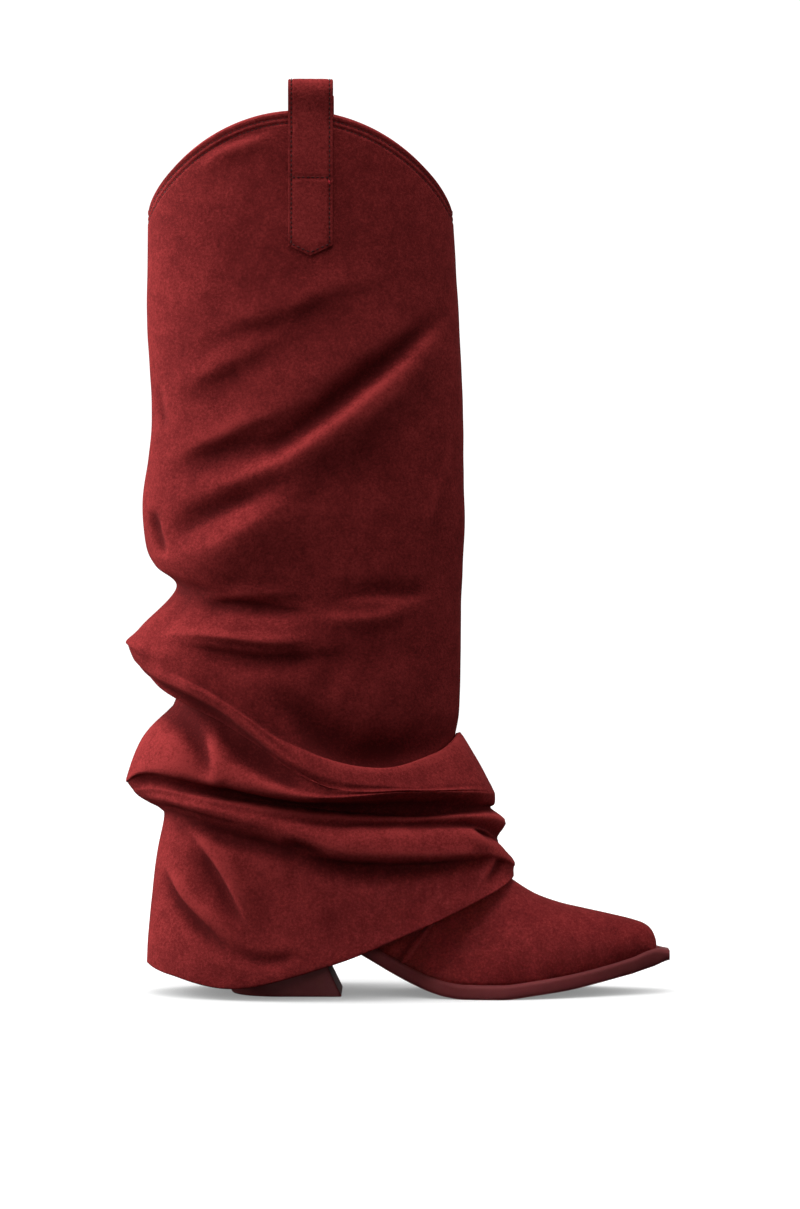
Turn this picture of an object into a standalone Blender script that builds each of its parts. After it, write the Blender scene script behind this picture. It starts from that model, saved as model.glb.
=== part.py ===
"""Slouch western boot for the right foot, standing empty on its heel and forefoot.

All sizes are millimetres and become metres when a mesh is made. +X points to the toe, +Y to the inner
side of the foot and +Z up. The origin is the middle of the heel's rest face on the floor.
"""

from collections import namedtuple
import math

import bmesh
import bpy
import numpy as np

MM = 0.001

# Sole and heel
HEEL_END = -56.0
REST_START = 106.0
REST_END = 130.0
HEEL_ROUND_X = -15.0
HEEL_ROUND_HALF = 31.0
TOE_END = 230.0
SOLE_BEVEL = 1.8
HEEL_ROUND_STATIONS = 8
SOLE_STATION_STEP = 8.0

# Plies and fits
WALL = 1.7
SHAFT_WALL = 1.6
INSOLE_PLY = 2.5
STRAP_PLY = 1.8
VAMP_PLY = 0.8
FIT_GAP = 0.3
FEATHER_GAP = 0.55
END_LIFT = 0.35
INSOLE_INSET = 1.2
INSOLE_HEEL_SHORT = 5.5
INSOLE_HEEL_NARROW = 4.4
INSOLE_TOE_SHORT = 16.0
STRAP_CLEAR = 0.9

# Heel block
HEEL_BACK_FOOT = -32.0
HEEL_BREAST_FOOT = 34.0
HEEL_BREAST_TOP = 16.0
HEEL_FOOT_HALF = 26.5
HEEL_FOOT_ROUND = 30.0
HEEL_SEAT_ROUND = 40.0
HEEL_SEAT_INSET = 0.8
HEEL_WAIST = 0.015
HEEL_LEVELS = 7
HEEL_ROUND_POINTS = 12
HEEL_SIDE_POINTS = 3

# Upper and shaft meshes
FOOT_BULGE = 1.012
FOOT_PEAK = 1.12
COLLAR_POWER = 1.46
SECTION_SIDE_POINTS = 13
SECTION_FINE_POINTS = 80
SLEEVE_POINTS = 36

# Pull straps
STRAP_WIDTH = 26.5
STRAP_CENTRE_X = 15.7
STRAP_TOP = 543.0
STRAP_POINT = 438.5
STRAP_SHOULDER = 445.0
STRAP_INNER_END = 456.0
STRAP_LOOP_HALF = 4.6
STRAP_LOOP_DROP = 9.0
STRAP_LOOP_WRAP = 0.9
STRAP_LOOP_POINTS = 13
STRAP_OUTSIDE_DROPS = (50.0, 20.0, 2.0)
STRAP_INSIDE_DROPS = (2.0, 16.0, 36.0)
STRAP_COLUMNS = 6

SUEDE = ("suede", (0.155, 0.018, 0.020), 0.92)
SOLE_RUBBER = ("sole_rubber", (0.090, 0.020, 0.022), 0.62)
HEEL_BLOCK = ("heel_block", (0.070, 0.015, 0.017), 0.48)
INSOLE_CLOTH = ("insole_cloth", (0.120, 0.035, 0.035), 0.90)

# One row for each station of the sole: distance out to the edge on the two sides of the long axis,
# height of the underside, thickness of the edge and how far the edge stands out past the upper.
SoleStation = namedtuple("SoleStation", "x outer inner underside thickness welt")
SOLE = (
    SoleStation(-56.0, 31.0, 31.0, 49.0, 6.0, 1.0),
    SoleStation(-15.0, 31.0, 31.0, 45.8, 6.0, 1.0),
    SoleStation(8.0, 30.0, 28.5, 42.0, 6.6, 1.0),
    SoleStation(22.0, 28.6, 25.6, 37.2, 7.6, 1.0),
    SoleStation(36.0, 27.6, 22.8, 30.2, 8.6, 1.2),
    SoleStation(50.0, 28.0, 21.6, 22.3, 9.2, 1.4),
    SoleStation(64.0, 30.2, 22.8, 14.3, 9.4, 1.7),
    SoleStation(78.0, 34.0, 26.4, 7.4, 9.4, 2.0),
    SoleStation(90.0, 37.8, 30.6, 2.8, 9.2, 2.3),
    SoleStation(99.0, 40.0, 33.6, 0.8, 8.9, 2.5),
    SoleStation(106.0, 41.4, 35.6, 0.0, 8.7, 2.6),
    SoleStation(118.0, 43.2, 38.8, 0.0, 8.6, 2.7),
    SoleStation(130.0, 43.4, 40.4, 0.0, 8.6, 2.7),
    SoleStation(150.0, 40.2, 40.4, 2.4, 8.6, 2.7),
    SoleStation(169.0, 34.0, 37.2, 4.9, 8.9, 2.7),
    SoleStation(188.0, 26.0, 31.6, 8.7, 8.9, 2.7),
    SoleStation(207.0, 17.0, 24.6, 12.8, 9.4, 2.7),
    SoleStation(220.0, 10.4, 19.2, 16.5, 10.0, 2.7),
    SoleStation(230.0, 4.6, 14.4, 19.8, 5.6, 2.7),
)

# One row for each section of the foot, leaning from the feather line up to the ridge of the vamp. The
# half width is that of the ankle inside the section, or 0 where the sole alone gives it.
FootSection = namedtuple("FootSection", "low_x top_x top_z ankle_half")
FOOT = (
    FootSection(218.0, 222.6, 25.0, 0.0),
    FootSection(215.6, 222.2, 31.0, 0.0),
    FootSection(212.6, 219.8, 36.8, 0.0),
    FootSection(208.6, 215.5, 40.8, 0.0),
    FootSection(202.0, 208.0, 43.6, 0.0),
    FootSection(193.0, 195.0, 46.8, 0.0),
    FootSection(177.0, 179.0, 50.4, 0.0),
    FootSection(160.0, 164.0, 54.0, 0.0),
    FootSection(141.0, 149.5, 59.4, 0.0),
    FootSection(120.0, 137.0, 67.2, 0.0),
    FootSection(96.0, 127.0, 75.0, 0.0),
    FootSection(71.0, 117.5, 83.5, 27.0),
    FootSection(48.0, 109.0, 93.0, 29.5),
    FootSection(24.0, 102.0, 104.5, 31.0),
    FootSection(0.0, 97.0, 116.0, 32.0),
    FootSection(-22.0, 93.5, 128.0, 32.5),
    FootSection(-40.0, 91.5, 139.0, 32.5),
    FootSection(-50.5, 90.0, 149.0, 32.5),
    FootSection(-54.2, 89.0, 159.0, 32.5),
)
SEAM_SECTION = 11
HEEL_SECTION = 12
TOE_SECTIONS = 3

# One row for each ring of the inner shaft, from the back seam to the front seam; the side of the ring
# rises above the straight line between them.
ShaftRing = namedtuple("ShaftRing", "back_x back_z front_x front_z half rise")
SHAFT = (
    ShaftRing(-57.8, 71.0, 88.5, 170.0, 33.0, 0.0),
    ShaftRing(-58.4, 92.0, 89.0, 182.0, 33.5, 0.0),
    ShaftRing(-56.0, 117.0, 90.0, 195.0, 34.0, 0.0),
    ShaftRing(-53.5, 145.0, 92.0, 210.0, 35.0, 0.0),
    ShaftRing(-53.5, 177.0, 94.0, 228.0, 36.5, 0.0),
    ShaftRing(-55.5, 211.0, 96.0, 250.0, 38.0, 0.0),
    ShaftRing(-59.0, 244.0, 98.5, 277.0, 39.5, 0.0),
    ShaftRing(-68.0, 287.0, 100.0, 309.0, 41.0, 3.5),
    ShaftRing(-75.0, 332.0, 100.5, 347.0, 42.0, 13.5),
    ShaftRing(-78.5, 387.0, 99.5, 397.0, 42.6, 29.0),
    ShaftRing(-79.7, 437.0, 97.6, 439.0, 42.9, 46.0),
    ShaftRing(-79.9, 467.5, 96.9, 467.5, 43.0, 54.5),
)

# One row for each ring of the loose sleeve, in the order of the cloth from the collar to the hem. Heights
# are given every 30 degrees round the outer side, from the back seam to the front seam; the inner side of
# the foot lies lower or higher by the shift. Steps are the mesh rings down to the next row.
FoldRing = namedtuple(
    "FoldRing",
    "fold back_x front_x half front_full z_back z_30 z_60 z_side z_120 z_150 z_front inner_shift steps",
)
SLEEVE = (
    FoldRing("collar", -82.0, 99.0, 45.0, 1.00, 468, 488, 512.5, 523, 512.5, 488, 468, 0, 2),
    FoldRing("top_band", -82.2, 101.0, 46.0, 1.00, 437, 453, 479, 489.5, 479, 453, 438, 0, 2),
    FoldRing("calf_top", -82.0, 103.0, 47.5, 1.00, 397, 405, 421, 428, 422, 408, 399, 0, 1),
    FoldRing("calf", -80.0, 105.0, 48.5, 1.00, 347, 350, 356.5, 359, 358.5, 355.5, 352, 0, 1),
    FoldRing("calf_back", -81.5, 105.8, 48.5, 1.00, 319, 317, 312.5, 310, 313, 316, 317, 0, 2),
    FoldRing("back_bulge", -85.3, 106.0, 49.5, 1.00, 294, 291.5, 285, 281, 280.5, 282, 283, 0, 2),
    FoldRing("bulge_foot", -83.5, 105.4, 49.0, 1.00, 269, 266, 259, 253.5, 252.5, 254, 255, 0, 1),
    FoldRing("notch_lip", -77.0, 105.0, 48.2, 1.00, 256, 252.5, 246, 242, 243, 243.5, 243, 0, 1),
    FoldRing("notch", -64.0, 104.5, 47.4, 1.00, 243, 238.5, 232.5, 231, 234.5, 233, 231, 0, 1),
    FoldRing("nose_top", -86.0, 104.0, 49.6, 1.00, 219, 215.5, 213.5, 212, 212.5, 212, 210.5, 0, 1),
    FoldRing("nose_trough", -95.0, 103.2, 48.6, 1.00, 211, 206, 200, 182, 164, 165.5, 170.5, 2, 1),
    FoldRing("tube_foot", -94.0, 100.0, 48.4, 1.00, 208, 199.5, 185.5, 156, 135, 140, 147.5, 3, 1),
    FoldRing("roll_top", -93.0, 104.0, 52.0, 1.00, 205, 196, 181, 149.5, 137, 145.5, 155.5, 3, 1),
    FoldRing("roll_edge", -91.0, 119.0, 54.0, 1.00, 200.5, 191.5, 174, 137, 127.5, 129.5, 129, 2, 1),
    FoldRing("under_nose", -86.0, 122.0, 50.5, 1.00, 191.5, 179, 161, 129.5, 125, 125, 124, 0, 1),
    FoldRing("nose_valley", -70.5, 123.0, 48.6, 1.00, 176, 171.5, 154.5, 126.5, 124, 123.5, 122, 0, 1),
    FoldRing("band_back", -86.5, 124.0, 55.0, 1.00, 150, 151.5, 143.5, 123.5, 123.5, 122.5, 120, -2, 1),
    FoldRing("band_edge", -95.0, 124.5, 57.0, 1.00, 129, 135.5, 129, 119.5, 122, 121, 118, -3, 1),
    FoldRing("recess", -94.2, 123.0, 52.0, 0.98, 125.5, 131, 124.5, 116, 115.5, 116.5, 113.5, -3, 1),
    FoldRing("groove", -92.5, 120.5, 46.8, 0.96, 123, 127.5, 121.5, 113.5, 108.5, 111, 108, -3, 1),
    FoldRing("thin_ridge", -90.5, 131.0, 51.0, 0.94, 120.5, 124, 118, 111, 107, 107.5, 99.5, -2, 1),
    FoldRing("second_groove", -88.0, 123.6, 49.0, 0.92, 118, 121, 114.5, 105.5, 102.5, 101.5, 93, -2, 1),
    FoldRing("fold_top", -85.0, 126.0, 53.5, 0.91, 116, 117.5, 110.5, 101.5, 100, 99.5, 89, 0, 1),
    FoldRing("fold_face", -80.5, 133.0, 56.5, 0.90, 113.5, 114.5, 106, 96, 93, 93.5, 83, 1, 1),
    FoldRing("fold_edge", -74.5, 136.4, 57.0, 0.88, 110, 110, 101.5, 87, 85, 85.5, 77.5, 2, 1),
    FoldRing("skirt_top", -72.5, 136.0, 53.0, 0.83, 105.5, 104, 94.5, 81, 79.5, 81, 75.6, 2, 1),
    FoldRing("skirt_upper", -76.0, 135.8, 52.5, 0.80, 85, 82, 75, 68.5, 70, 73, 74, 1, 2),
    FoldRing("skirt_middle", -79.0, 135.8, 53.0, 0.77, 61, 57, 51, 51, 60, 68.5, 72.6, 0, 2),
    FoldRing("skirt_low", -81.5, 135.8, 53.0, 0.73, 37, 33.5, 28, 35, 51, 65, 71.4, -2, 2),
    FoldRing("hem", -82.5, 135.8, 52.0, 0.70, 18.5, 14, 8, 22, 43.5, 62, 70.4, -3, 1),
)


def along(rows, position):
    """Smooth curve through the rows of a table at fractional row numbers (Catmull-Rom)."""
    rows = np.asarray(rows, float)
    position = np.atleast_1d(np.asarray(position, float))
    first = np.clip(np.floor(position).astype(int), 0, len(rows) - 2)
    t = (position - first)[:, None]
    before = rows[np.maximum(first - 1, 0)]
    start = rows[first]
    end = rows[first + 1]
    after = rows[np.minimum(first + 2, len(rows) - 1)]
    bend = 2 * before - 5 * start + 4 * end - after
    twist = 3 * start - before - 3 * end + after
    return start + 0.5 * t * ((end - before) + t * (bend + t * twist))


def sole_at(x):
    """Sole station at any distance along the foot; the heel end is rounded to half an ellipse."""
    table = np.array(SOLE)
    place = np.interp(x, table[:, 0], np.arange(len(table)))
    row = along(table, place)
    flat = (x >= REST_START) & (x <= REST_END)
    row[:, 3] = np.where(flat, 0.0, np.maximum(row[:, 3], 0.0))
    reach = np.clip((HEEL_ROUND_X - x) / (HEEL_ROUND_X - HEEL_END), 0.0, 1.0)
    round_half = HEEL_ROUND_HALF * np.sqrt(1.0 - reach**2)
    at_heel = (x < HEEL_ROUND_X)[:, None]
    row[:, 1:3] = np.where(at_heel, round_half[:, None], row[:, 1:3])
    row[:, 0] = x
    return row


def sole_top(x):
    """Height of the sole's upper face."""
    row = sole_at(np.atleast_1d(np.asarray(x, float)))
    return row[:, 3] + row[:, 4]


def station_places(start, end):
    """Stations along the sole, close together where the heel end turns round."""
    turn = np.linspace(0.12, 0.5 * math.pi, HEEL_ROUND_STATIONS)
    heel = HEEL_ROUND_X - (HEEL_ROUND_X - start) * np.cos(turn)
    count = round((end - HEEL_ROUND_X) / SOLE_STATION_STEP)
    straight = np.linspace(HEEL_ROUND_X, end, count + 1)
    places = np.concatenate([heel, straight[1:]])
    for rest_edge in (REST_START, REST_END):
        places[np.argmin(np.abs(places - rest_edge))] = rest_edge
    return places


def material(finish):
    """Plain material of one finish: name, colour and roughness."""
    name, colour, roughness = finish
    found = bpy.data.materials.get(name)
    if found:
        return found
    made = bpy.data.materials.new(name)
    made.use_nodes = True
    made.diffuse_color = (*colour, 1.0)
    shader = made.node_tree.nodes["Principled BSDF"]
    shader.inputs["Base Color"].default_value = (*colour, 1.0)
    shader.inputs["Roughness"].default_value = roughness
    shader.inputs["Metallic"].default_value = 0.0
    return made


def new_object(name, bm, finish, root):
    """Object of a finished mesh, given in millimetres, under the boot's root."""
    bmesh.ops.remove_doubles(bm, verts=bm.verts, dist=1e-3)
    bmesh.ops.recalc_face_normals(bm, faces=bm.faces)
    bmesh.ops.scale(bm, vec=(MM, MM, MM), verts=bm.verts)
    mesh = bpy.data.meshes.new(name)
    bm.to_mesh(mesh)
    bm.free()
    mesh.shade_smooth()
    mesh.materials.append(material(finish))
    obj = bpy.data.objects.new(name, mesh)
    obj.parent = root
    bpy.context.scene.collection.objects.link(obj)
    return obj


def grid_faces(bm, grid, around=False):
    """Quads over a grid of points, its columns closed into rings if asked."""
    points = [[bm.verts.new(point) for point in row] for row in grid]
    columns = len(points[0])
    last = columns if around else columns - 1
    for upper, lower in zip(points[:-1], points[1:]):
        for column in range(last):
            beside = (column + 1) % columns
            bm.faces.new((upper[column], lower[column], lower[beside], upper[beside]))
    return points


def loft(sections):
    """Closed solid through closed sections with equal numbers of points, its two ends filled."""
    bm = bmesh.new()
    points = grid_faces(bm, sections, around=True)
    bm.faces.new(points[0])
    bm.faces.new(reversed(points[-1]))
    return bm


def add_wall(obj, thickness):
    """Give a sheet its thickness, all of it behind the sheet's face."""
    wall = obj.modifiers.new("wall", "SOLIDIFY")
    wall.thickness = thickness * MM
    wall.offset = -1.0
    wall.use_rim = True
    wall.use_even_offset = False


def build_outsole(root):
    """Loft the sole from heel to toe through sections with a bevelled upper edge."""
    row = sole_at(station_places(HEEL_END, TOE_END))
    x, outer, inner, low, thick = row[:, :5].T
    top = low + thick
    bevel = np.minimum(SOLE_BEVEL, 0.4 * outer)
    ring = (
        (-outer + 0.6 * bevel, low),
        (-outer, low + 0.8),
        (-outer, top - bevel),
        (-outer + bevel, top),
        (inner - bevel, top),
        (inner, top - bevel),
        (inner, low + 0.8),
        (inner - 0.6 * bevel, low),
    )
    sections = np.stack([np.stack([x, y, z], axis=1) for y, z in ring], axis=1)
    return new_object("outsole", loft(sections), SOLE_RUBBER, root)


def build_insole(root):
    """Loft the insole board over the outsole, clear of the upper's wall."""
    places = station_places(HEEL_END + INSOLE_HEEL_SHORT, TOE_END - INSOLE_TOE_SHORT)
    row = sole_at(places)
    inset = row[:, 5] + WALL + INSOLE_INSET
    reach = np.clip((HEEL_ROUND_X - places) / (HEEL_ROUND_X - HEEL_END - INSOLE_HEEL_SHORT), 0.0, 1.0)
    heel_half = (HEEL_ROUND_HALF - INSOLE_HEEL_NARROW) * np.sqrt(1.0 - reach**2)
    at_heel = places < HEEL_ROUND_X
    outer = np.where(at_heel, heel_half, row[:, 1] - inset)
    inner = np.where(at_heel, heel_half, row[:, 2] - inset)
    low = row[:, 3] + row[:, 4] + FIT_GAP
    top = low + INSOLE_PLY
    ring = ((-outer, low), (-outer, top), (inner, top), (inner, low))
    sections = np.stack([np.stack([places, y, z], axis=1) for y, z in ring], axis=1)
    return new_object("insole", loft(sections), INSOLE_CLOTH, root)


def heel_outline(back, breast, half, round_length):
    """Plan of the heel block: straight breast, straight sides and a round back."""
    turn = np.linspace(-0.5 * math.pi, 0.5 * math.pi, HEEL_ROUND_POINTS + 1)
    round_x = back + round_length * (1.0 - np.cos(turn))
    round_y = half * np.sin(turn)
    side = np.linspace(0.0, 1.0, HEEL_SIDE_POINTS + 1)[1:]
    side_x = back + round_length + (breast - back - round_length) * side
    x = np.concatenate([side_x[::-1], round_x, side_x])
    y = np.concatenate([np.full(len(side), -half), round_y, np.full(len(side), half)])
    return np.stack([x, y], axis=1)


def build_heel(root):
    """Loft the heel block from its rest face up to the slope of the sole's underside."""
    seat_half = HEEL_ROUND_HALF - HEEL_SEAT_INSET
    seat = heel_outline(HEEL_END + HEEL_SEAT_INSET, HEEL_BREAST_TOP, seat_half, HEEL_SEAT_ROUND)
    edge = np.minimum(*sole_at(seat[:, 0])[:, 1:3].T) - HEEL_SEAT_INSET
    seat[:, 1] = np.clip(seat[:, 1], -edge, edge)
    seat_z = sole_at(seat[:, 0])[:, 3] - FIT_GAP
    foot = heel_outline(HEEL_BACK_FOOT, HEEL_BREAST_FOOT, HEEL_FOOT_HALF, HEEL_FOOT_ROUND)
    sections = []
    for level in np.linspace(0.0, 1.0, HEEL_LEVELS):
        plan = foot + (seat - foot) * level
        plan = plan * (1.0 - HEEL_WAIST * math.sin(math.pi * level))
        sections.append(np.column_stack([plan, seat_z * level]))
    return new_object("heel", loft(sections), HEEL_BLOCK, root)


def foot_sections(places):
    """Low and top points, half widths and low half widths of the foot's sections, one row each."""
    table = along(FOOT, places)
    sole = sole_at(table[:, 0])
    at_toe = np.clip(1.0 - places / TOE_SECTIONS, 0.0, 1.0)
    at_heel = np.clip(places - len(FOOT) + 3.0, 0.0, 1.0)
    gap = FEATHER_GAP + END_LIFT * (at_toe + at_heel)
    low_z = sole[:, 3] + sole[:, 4] + gap
    low_half = 0.5 * (sole[:, 1] + sole[:, 2]) - sole[:, 5]
    middle = 0.5 * (sole[:, 2] - sole[:, 1])
    bulge = 1.0 + (FOOT_BULGE - 1.0) * (1.0 - at_toe)
    half = np.maximum(low_half * bulge, table[:, 3])
    top_z = np.where(places > 0, table[:, 2], sole_top(table[:, 1]) + gap)
    rise = np.zeros(len(table))
    return np.column_stack([table[:, 0], low_z, table[:, 1], top_z, middle, half, low_half, rise])


def shaft_sections():
    """The inner shaft's rings in the same columns as the foot's sections; they close at the back."""
    ring = np.array(SHAFT)
    none = np.zeros(len(ring))
    return np.column_stack([ring[:, :4], none, ring[:, 4], none, ring[:, 5]])


def section_curve(section, side):
    """Points of one side of a section, from its top down to its low end.

    The section is part of an oval about the line from the top to the low point. The oval is followed
    round until its half width has come back to the low half width.
    """
    low_x, low_z, top_x, top_z, middle, half, low_half, rise = section
    sweep = math.pi - math.asin(min(1.0, low_half / half))
    turn = np.linspace(0.0, sweep, SECTION_FINE_POINTS + 1)
    down = (1.0 - np.cos(turn)) / (1.0 - math.cos(sweep))
    power = 1.0 + (FOOT_PEAK - 1.0) * min(1.0, low_half / half)
    bow = np.abs(np.sin(turn))
    peaked = np.where(turn < 0.5 * math.pi, bow**power, bow)
    x = top_x + (low_x - top_x) * down
    y = middle + side * half * peaked
    z = top_z + (low_z - top_z) * down + rise * bow**COLLAR_POWER
    curve = np.stack([x, y, z], axis=1)
    return evenly(curve, SECTION_SIDE_POINTS)


def evenly(curve, count):
    """Points at even distances along a fine curve."""
    run = np.concatenate([[0.0], np.cumsum(np.linalg.norm(np.diff(curve, axis=0), axis=1))])
    stops = np.linspace(0.0, run[-1], count + 1)
    return np.stack([np.interp(stops, run, column) for column in curve.T], axis=1)


def foot_places():
    """Fractional rows of the foot's mesh: the vamp's cut edge is two close rows, the heel has half rows."""
    vamp = np.arange(SEAM_SECTION, dtype=float)
    seam = np.array([SEAM_SECTION - 0.03, SEAM_SECTION + 0.03])
    quarter = np.arange(SEAM_SECTION + 1.0, HEEL_SECTION)
    heel = np.arange(HEEL_SECTION, len(FOOT) - 0.9, 0.5)
    return np.concatenate([vamp, seam, quarter, heel])


def inset_sections(rows, foot_count):
    """The same sections one wall further in: ridge, feather line and back seam move along their normals."""
    inner = rows.copy()
    ridge = np.gradient(rows[:, 2:4], axis=0)
    ridge /= np.linalg.norm(ridge, axis=1)[:, None]
    inner[:, 2] -= WALL * ridge[:, 1]
    inner[:, 3] += WALL * ridge[:, 0]
    inner[:, 5] -= WALL
    foot = slice(0, foot_count)
    edge = np.gradient(rows[foot][:, [0, 6]], axis=0)
    edge /= np.linalg.norm(edge, axis=1)[:, None]
    inner[foot, 0] -= WALL * edge[:, 1]
    inner[foot, 6] += WALL * edge[:, 0]
    inner[foot, 1] += sole_top(inner[foot, 0]) - sole_top(rows[foot, 0])
    back = np.gradient(rows[foot_count:, :2], axis=0)
    back /= np.linalg.norm(back, axis=1)[:, None]
    inner[foot_count:, 0] += WALL * back[:, 1]
    return inner


def section_grid(rows):
    """Whole sections, from the outer side's low end over the top to the inner side's."""
    return [np.concatenate([section_curve(row, -1.0)[::-1], section_curve(row, 1.0)[1:]]) for row in rows]


def build_upper(root):
    """Foot and inner shaft, sewn up the back: an outer and an inner face joined at feather line and collar."""
    places = foot_places()
    foot = foot_sections(places)
    vamp = (places < SEAM_SECTION) & (places > TOE_SECTIONS)
    foot[vamp, 5:7] += VAMP_PLY
    rows = np.concatenate([foot, shaft_sections()])
    bm = bmesh.new()
    face = grid_faces(bm, section_grid(rows))
    lining = grid_faces(bm, section_grid(inset_sections(rows, len(foot))))
    edges = [(face[0], lining[0]), (face[-1], lining[-1])]
    for column in (0, -1):
        edges.append([[row[column] for row in grid[: len(foot) + 1]] for grid in (face, lining)])
    for outside, inside in edges:
        for index in range(len(outside) - 1):
            bm.faces.new((outside[index], outside[index + 1], inside[index + 1], inside[index]))
    return new_object("upper", bm, SUEDE, root)


def sleeve_rings():
    """Sizes of the sleeve's mesh rings, in the table's columns without its names."""
    places = []
    for index, ring in enumerate(SLEEVE[:-1]):
        places.extend(index + np.arange(ring.steps) / ring.steps)
    return along([ring[1:] for ring in SLEEVE], [*places, len(SLEEVE) - 1.0])


def sleeve_points(ring, turn):
    """Points of one sleeve ring at angles about the leg, 0 at the front, a quarter turn at the inner side."""
    back_x, front_x, half, full = ring[:4]
    outer = ring[4:11]
    inner = outer + ring[11] * np.sin(np.linspace(0.0, math.pi, len(outer)))
    around = np.concatenate([inner[::-1], outer[1:-1]])
    wrapped = np.concatenate([around[-2:], around, around[:3]])
    place = 2.0 + (turn % (2 * math.pi)) / (math.pi / 6)
    bow = np.sin(turn)
    power = np.where(np.cos(turn) > 0, full, 1.0)
    x = 0.5 * (back_x + front_x) + 0.5 * (front_x - back_x) * np.cos(turn)
    y = half * np.sign(bow) * np.abs(bow) ** power
    z = along(wrapped[:, None], place)[:, 0]
    return np.stack([x, y, z], axis=1)


def collar_level(turn):
    """Height of the collar's edge at angles about the leg: high at the sides, dipped at the seams."""
    collar = SLEEVE[0]
    return collar.z_back + (collar.z_side - collar.z_back) * np.abs(np.sin(turn)) ** COLLAR_POWER


def build_sleeve(root):
    """Loose sleeve through its fold rings, given a wall inwards."""
    turn = np.linspace(0.0, 2 * math.pi, SLEEVE_POINTS, endpoint=False)
    grid = [sleeve_points(ring, turn) for ring in sleeve_rings()]
    grid[0][:, 2] = collar_level(turn)
    bm = bmesh.new()
    grid_faces(bm, grid, around=True)
    obj = new_object("slouch_shaft", bm, SUEDE, root)
    add_wall(obj, SHAFT_WALL)
    return obj


def wall_offset(height):
    """Half width of the sleeve at its side, at heights near the collar."""
    rings = SLEEVE[2::-1]
    return np.interp(height, [ring.z_side for ring in rings], [ring.half for ring in rings])


def strap_path():
    """Middle line of the strap's sheet in height and distance from the leg's middle plane.

    It climbs the outside of the sleeve, stands as a drop-shaped loop and comes down inside the shaft.
    """
    edge = SLEEVE[0].z_side
    outside = np.array([STRAP_POINT, STRAP_SHOULDER, *(edge - drop for drop in STRAP_OUTSIDE_DROPS)])
    face = wall_offset(outside) + FIT_GAP + STRAP_PLY
    middle = SLEEVE[0].half - 0.5 * (SHAFT_WALL + WALL)
    turn = np.linspace(-STRAP_LOOP_WRAP, math.pi + STRAP_LOOP_WRAP, STRAP_LOOP_POINTS)
    loop_z = STRAP_TOP - STRAP_LOOP_DROP * (1.0 - np.sin(turn))
    loop_y = middle + (STRAP_LOOP_HALF + STRAP_PLY) * np.cos(turn)
    inside = np.array([*(edge - drop for drop in STRAP_INSIDE_DROPS), STRAP_INNER_END])
    back = np.full(len(inside), SHAFT[-1].half - WALL - STRAP_CLEAR - STRAP_PLY)
    z = np.concatenate([outside, loop_z, inside])
    y = np.concatenate([face, loop_y, back])
    return z, y


def build_strap(name, side, root):
    """Pull strap as a sheet across its path, cut to a point at its outer end."""
    z, y = strap_path()
    across = np.linspace(-0.5, 0.5, STRAP_COLUMNS + 1) * STRAP_WIDTH
    reach = 0.5 * (SLEEVE[0].front_x - SLEEVE[0].back_x)
    middle = 0.5 * (SLEEVE[0].front_x + SLEEVE[0].back_x)
    sag = SLEEVE[0].half * (1.0 - np.sqrt(1.0 - ((across + STRAP_CENTRE_X - middle) / reach) ** 2))
    grid = []
    for index, (height, out) in enumerate(zip(z, y)):
        level = np.full(len(across), height)
        if index == 0:
            level += (STRAP_SHOULDER - STRAP_POINT - 1.0) * np.abs(across) / (0.5 * STRAP_WIDTH)
        grid.append(np.stack([across + STRAP_CENTRE_X, side * (out - sag), level], axis=1))
    bm = bmesh.new()
    grid_faces(bm, grid)
    obj = new_object(name, bm, SUEDE, root)
    add_wall(obj, STRAP_PLY)
    return obj


def build_boot():
    """Clear the scene and put the boot's pieces together under one root."""
    for old in list(bpy.data.objects):
        bpy.data.objects.remove(old, do_unlink=True)
    root = bpy.data.objects.new("boot_root", None)
    bpy.context.scene.collection.objects.link(root)
    build_outsole(root)
    build_heel(root)
    build_insole(root)
    build_upper(root)
    build_sleeve(root)
    build_strap("pull_strap_outer", -1.0, root)
    build_strap("pull_strap_inner", 1.0, root)


if __name__ == "__main__":
    build_boot()
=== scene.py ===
"""Dresses the slouch western boot: folded suede sleeve, foot upper, moulded sole and heel, straps, stitching.

Sizes are millimetres in the boot's own frame: +X to the toe, +Y to the inner side of the right foot, +Z up,
the origin in the middle of the heel's rest face. Meshes are made in metres.
"""

from dataclasses import dataclass
from enum import Enum
from functools import cached_property
import logging
import math
from typing import Any, NamedTuple, Sequence

import bmesh
import bpy
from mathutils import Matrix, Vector
import numpy as np


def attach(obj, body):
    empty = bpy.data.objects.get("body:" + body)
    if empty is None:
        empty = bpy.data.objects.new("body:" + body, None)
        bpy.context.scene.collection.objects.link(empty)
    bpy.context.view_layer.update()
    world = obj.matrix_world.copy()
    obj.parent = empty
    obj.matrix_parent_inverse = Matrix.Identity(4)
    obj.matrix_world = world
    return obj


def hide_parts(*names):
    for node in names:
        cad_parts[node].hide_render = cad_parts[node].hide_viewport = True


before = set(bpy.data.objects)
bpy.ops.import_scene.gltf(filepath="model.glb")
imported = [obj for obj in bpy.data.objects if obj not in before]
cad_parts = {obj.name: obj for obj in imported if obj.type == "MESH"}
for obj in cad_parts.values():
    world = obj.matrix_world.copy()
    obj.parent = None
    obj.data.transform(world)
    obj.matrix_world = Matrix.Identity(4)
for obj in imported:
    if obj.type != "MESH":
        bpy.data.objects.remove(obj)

MM = 0.001
TURN = 2.0 * math.pi
QUARTER = 0.5 * math.pi
UP = np.array([0.0, 0.0, 1.0])
LOG = logging.getLogger("boot")

Array = np.ndarray
Triple = tuple[float, float, float]
Spot = tuple[float, float]
Stops = tuple[tuple[float, Triple], ...]
Shape = tuple[Array, list[list[int]]]


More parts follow.
